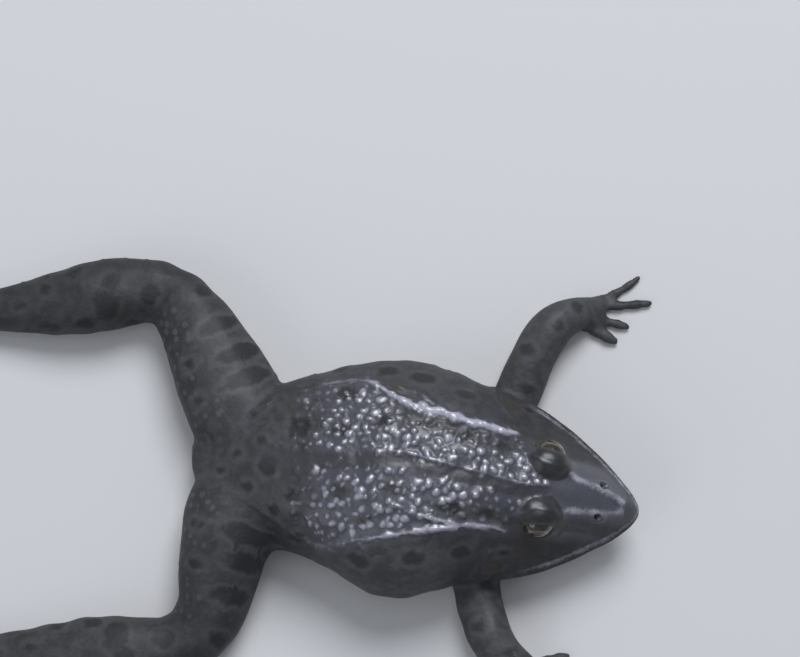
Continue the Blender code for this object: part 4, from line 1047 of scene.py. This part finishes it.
def skin_colour(look, place, fine, medium):
    """Ground mottled in two sizes and warmer in broad patches, then a painted lavender sheen on the wet
    skin, flecks, spots, warts pale with painted glints, the spine's band, folds and ridges pale with
    painted sheen, belly, eardrum, lids' edges and painted shade in mouth and nostrils, each laid over what
    came before."""
    broad = look.grain(place, BROAD_SIZE, 2.0)
    mottle = look.step(look.work("ADD", medium, look.times(broad, 0.6)), 0.62, 0.98)
    cells = look.add("ShaderNodeTexVoronoi", Vector=place, Scale=1.0 / (FLECK_SPACING * MM))
    dots = look.step(look.frayed(cells.outputs["Distance"], medium, 0.6), 0.46, 0.20, 0.0, 0.85)
    spots = look.frayed(look.layer("spot"), medium, 0.9)
    pale = look.frayed(look.frayed(look.layer("pale"), fine, 0.5), medium, 0.6)
    belly = look.frayed(look.layer("belly"), medium, 1.2)
    colour = look.blend(mottle, GROUND_DARK, GROUND_LIGHT)
    for share, laid_over in (
        (look.step(broad, 0.52, 0.72, 0.0, 0.75), GROUND_WARM),
        # painted sheen: the wet skin tinted lavender, as a reflection would tint it
        (look.times(look.layer("wet"), 0.7), WET_SHEEN_COLOUR),
        (look.step(look.grain(place, SPECKLE_SIZE), 0.60, 0.72, 0.0, 0.45), SPOT_COLOUR),
        (look.times(look.layer("thigh_rear"), dots), FLECK_COLOUR),
        (look.times(look.step(spots, 1.75, 1.28), look.layer("halo")), HALO_COLOUR),
        (look.step(spots, 1.30, 0.72, 0.0, 0.9), SPOT_COLOUR),
        # the warts' pale tops, partly their own colour and partly a painted glint
        (look.step(look.layer("wart_pale_and_glint"), 0.10, 0.90, 0.0, 0.7), WART_PALE_AND_GLINT_COLOUR),
        (look.times(look.layer("band"), 0.8), BAND_COLOUR),
        # folds and ridges: own pale colour with painted sheen, and a painted highlight on the spine's ridge
        (look.step(pale, 0.25, 0.95), FOLD_PALE_AND_SHEEN_COLOUR),
        (look.step(belly, 0.30, 0.95), BELLY_COLOUR),
        (look.layer("drum"), DRUM_COLOUR),
        (look.layer("lid_edge"), LID_EDGE_COLOUR),
        # painted shade in the mouth's slit and the nostril pits
        (look.layer("painted_deep_shade"), DEEP_SHADE_COLOUR),
    ):
        colour = look.blend(share, colour, laid_over)
    return colour


def skin_finish():
    """Colour, dullness, wet gloss and fine relief, from the mesh's fields and from noise."""
    look = Finish("moist_frog_skin")
    place = look.add("ShaderNodeTexCoord").outputs["Object"]
    fine = look.grain(place, FINE_SIZE, 4.0)
    medium = look.grain(place, MEDIUM_SIZE)
    pepper = look.step(look.grain(place, PEPPER_SIZE, 2.0), 0.58, 0.68, 1.0, 0.78)
    colour = skin_colour(look, place, fine, medium)
    # The colour is scaled by the dark pepper specks and by the patches of painted light and shade.
    shade = look.add("ShaderNodeVectorMath", {"operation": "SCALE"}, Vector=colour,
                     Scale=look.times(pepper, look.layer("painted_light_and_shade")))
    roughness = look.add("ShaderNodeMapRange", Value=look.layer("wet"),
                         To_Min=DULL_ROUGHNESS, To_Max=WET_ROUGHNESS).outputs[0]
    cells = look.add("ShaderNodeTexVoronoi", {"feature": "SMOOTH_F1"}, Vector=place,
                     Scale=1.0 / (PEBBLE_SIZE * MM), Smoothness=0.35).outputs["Distance"]
    pebbles = look.add("ShaderNodeBump", {"invert": True}, Height=cells, Strength=0.4,
                       Distance=PEBBLE_DEPTH * MM)
    pores = look.add("ShaderNodeBump", Height=look.grain(place, PORE_SIZE), Strength=0.35,
                     Distance=PORE_DEPTH * MM, Normal=pebbles.outputs[0])
    look.fill(look.shader, {
        "Base_Color": shade.outputs[0], "Roughness": look.frayed(roughness, fine, 0.16),
        "Coat_Weight": look.layer("gloss"), "Coat_Roughness": COAT_ROUGHNESS, "Coat_IOR": COAT_INDEX,
        "Specular_IOR_Level": SKIN_SHEEN, "Normal": pores.outputs[0],
    })
    return look.material


finished.materials.clear()
finished.materials.append(skin_finish())

# The eyes: glossy balls held in their sockets by the lids, the clear cornea standing a little proud
# in the opening. The iris is bronze flecked with dark, with a gold ring round a level oval pupil.
EYE_RINGS, EYE_SIDES = 72, 96
CORNEA_RAISE = 0.34
CORNEA_REACH = np.radians(52.0)
IRIS_GOLD = (0.165, 0.112, 0.042, 1.0)
IRIS_BRONZE = (0.052, 0.036, 0.020, 1.0)
IRIS_DARK = (0.010, 0.008, 0.006, 1.0)
PUPIL_COLOUR = (0.003, 0.003, 0.003, 1.0)
PUPIL_HALF_LENGTH, PUPIL_HALF_HEIGHT = 0.40, 0.25        # over the eyeball's radius
IRIS_EDGE = (0.72, 0.84)  # where the dark rim of the iris begins and is full, over that radius


def eye_shell(side):
    """Ball about the gaze, of radius r + raise * (1 - (tilt / reach)^2)^2 within the cornea's reach,
    with each point's direction in the eye's own axes."""
    own = round_directions(0.012, EYE_RINGS, EYE_SIDES)
    tilt = np.arccos(own[..., 2])
    radius = EYE_RADIUS + CORNEA_RAISE * np.clip(1.0 - (tilt / CORNEA_REACH) ** 2, 0.0, 1.0) ** 2
    points, faces = tube(eye_centre(side) + radius[..., None] * (own @ np.stack(gaze_axes(side))))
    ends = np.array(((0.0, 0.0, 1.0), (0.0, 0.0, -1.0)))
    return points, faces, np.concatenate((own.reshape(-1, 3), ends))


def outwards(mesh):
    """Turns every face of a closed mesh to the outside."""
    bm = bmesh.new()
    bm.from_mesh(mesh)
    bmesh.ops.recalc_face_normals(bm, faces=bm.faces)
    bm.to_mesh(mesh)
    bm.free()


def eye_finish():
    """Iris, its gold ring, the oval pupil and the dark rim, laid out round the gaze, under clear gloss."""
    look = Finish("frog_eye")
    own = look.add("ShaderNodeAttribute", {"attribute_name": "gaze_place"}).outputs["Vector"]
    parts = look.add("ShaderNodeSeparateXYZ", Vector=own)
    level, rise = parts.outputs[0], parts.outputs[1]

    def from_gaze(across, up):
        """Length of a step across and up."""
        flat = look.add("ShaderNodeCombineXYZ", X=across, Y=up).outputs[0]
        return look.add("ShaderNodeVectorMath", {"operation": "LENGTH"}, Vector=flat).outputs["Value"]

    oval = from_gaze(look.work("DIVIDE", level, PUPIL_HALF_LENGTH),
                     look.work("DIVIDE", rise, PUPIL_HALF_HEIGHT))
    spokes = look.add("ShaderNodeTexNoise", Vector=own, Scale=9.0, Detail=5.0, Roughness=0.65).outputs[0]
    colour = look.blend(look.step(spokes, 0.42, 0.62), IRIS_DARK, IRIS_BRONZE)
    for share, laid_over in (
        (look.times(look.step(rise, 0.05, 0.45), look.step(spokes, 0.40, 0.66)), IRIS_GOLD),
        (look.step(oval, 1.38, 1.22), IRIS_GOLD),
        (look.step(oval, 1.05, 0.98), PUPIL_COLOUR),
        (look.step(from_gaze(level, rise), *IRIS_EDGE), IRIS_DARK),
    ):
        colour = look.blend(share, colour, laid_over)
    look.fill(look.shader, {
        "Base_Color": colour, "Roughness": 0.25, "Coat_Weight": 1.0, "Coat_Roughness": 0.02,
    })
    return look.material


eye_material = eye_finish()
for name, side in (("left", 1), ("right", -1)):
    points, faces, own = eye_shell(side)
    eye_mesh = joined_mesh("eyeball_" + name, [(points + SHIFT, faces)])
    outwards(eye_mesh)
    eye_mesh.shade_smooth()
    layer = eye_mesh.attributes.new("gaze_place", "FLOAT_VECTOR", "POINT")
    layer.data.foreach_set("vector", own.astype(np.float32).ravel())
    eye_mesh.materials.append(eye_material)
    eyeball = placed("eyeball_" + name, eye_mesh)
    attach(eyeball, "root")
    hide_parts("eye_" + name)

# The stage: a plain pale floor, soft lights on both sides and overhead, and a camera that looks down
# on the frog from a little to its right, as in the photo.
FLOOR_HALF = 1.6                             # in metres
FLOOR_COLOUR = (0.58, 0.58, 0.57, 1.0)
VIEW_TURN, VIEW_TILT = np.radians(4.0), np.radians(11.0)
VIEW_DISTANCE, SENSOR_WIDTH = 520.0, 36.0
IMAGE_SIZE = np.array((800.0, 657.0))
ORIGIN_PIXEL = np.array((415.0, 474.0))      # where the frog's own origin falls, at ORIGIN_HEIGHT
ORIGIN_HEIGHT = 8.0
PIXEL = 0.182                                # millimetres at that distance

floor_mesh = bpy.data.meshes.new("floor")
corners = [(x * FLOOR_HALF, y * FLOOR_HALF, 0.0) for x, y in ((-1, -1), (1, -1), (1, 1), (-1, 1))]
floor_mesh.from_pydata(corners, [], [(0, 1, 2, 3)])
floor = placed("floor", floor_mesh)
look = Finish("pale_floor")
look.fill(look.shader, {"Base_Color": FLOOR_COLOUR, "Roughness": 0.85, "Specular_IOR_Level": 0.2})
floor_mesh.materials.append(look.material)

right = np.array((np.cos(VIEW_TURN), np.sin(VIEW_TURN), 0.0))
ahead = np.array((-np.sin(VIEW_TURN), np.cos(VIEW_TURN), 0.0))
offset = (0.5 * IMAGE_SIZE - ORIGIN_PIXEL) * PIXEL
aim = offset[0] * right - offset[1] * ahead + ORIGIN_HEIGHT * UP
back_off = -np.sin(VIEW_TILT) * ahead + np.cos(VIEW_TILT) * UP
stand = aim + VIEW_DISTANCE * back_off
camera_data = bpy.data.cameras.new("camera")
camera_data.sensor_width = SENSOR_WIDTH
camera_data.lens = SENSOR_WIDTH * VIEW_DISTANCE / PIXEL / IMAGE_SIZE[0]
camera_data.clip_start, camera_data.clip_end = 0.01, 10.0
camera = placed("camera", camera_data)
turn_matrix = Matrix(np.stack((right, np.cross(back_off, right), back_off), axis=1).tolist()).to_4x4()
camera.matrix_world = Matrix.Translation(((stand + SHIFT) * MM).tolist()) @ turn_matrix
bpy.context.scene.camera = camera

LIGHTS = (      # name, place in metres, size in metres, watts
    ("key", (0.16, 0.58, 0.80), 0.55, 8.5),
    ("fill", (-0.60, -0.50, 0.60), 0.80, 2.0),
    ("overhead", (0.05, 0.05, 1.10), 0.60, 1.2),
)
LIGHT_COLOUR = (0.91, 0.93, 1.0)
SKY_COLOUR, SKY_STRENGTH = (0.80, 0.86, 1.0, 1.0), 0.28
for name, place, size, power in LIGHTS:
    data = bpy.data.lights.new(name, "AREA")
    data.shape = "DISK"
    data.size = size
    data.energy = power
    data.color = LIGHT_COLOUR
    lamp = placed(name, data)
    aim_at_origin = (-Vector(place)).to_track_quat("-Z", "Y").to_matrix().to_4x4()
    lamp.matrix_world = Matrix.Translation(place) @ aim_at_origin

world = bpy.data.worlds.new("studio")
world.use_nodes = True
sky = world.node_tree.nodes["Background"]
sky.inputs["Color"].default_value = SKY_COLOUR
sky.inputs["Strength"].default_value = SKY_STRENGTH
bpy.context.scene.world = world
bpy.context.scene.view_settings.view_transform = "Standard"
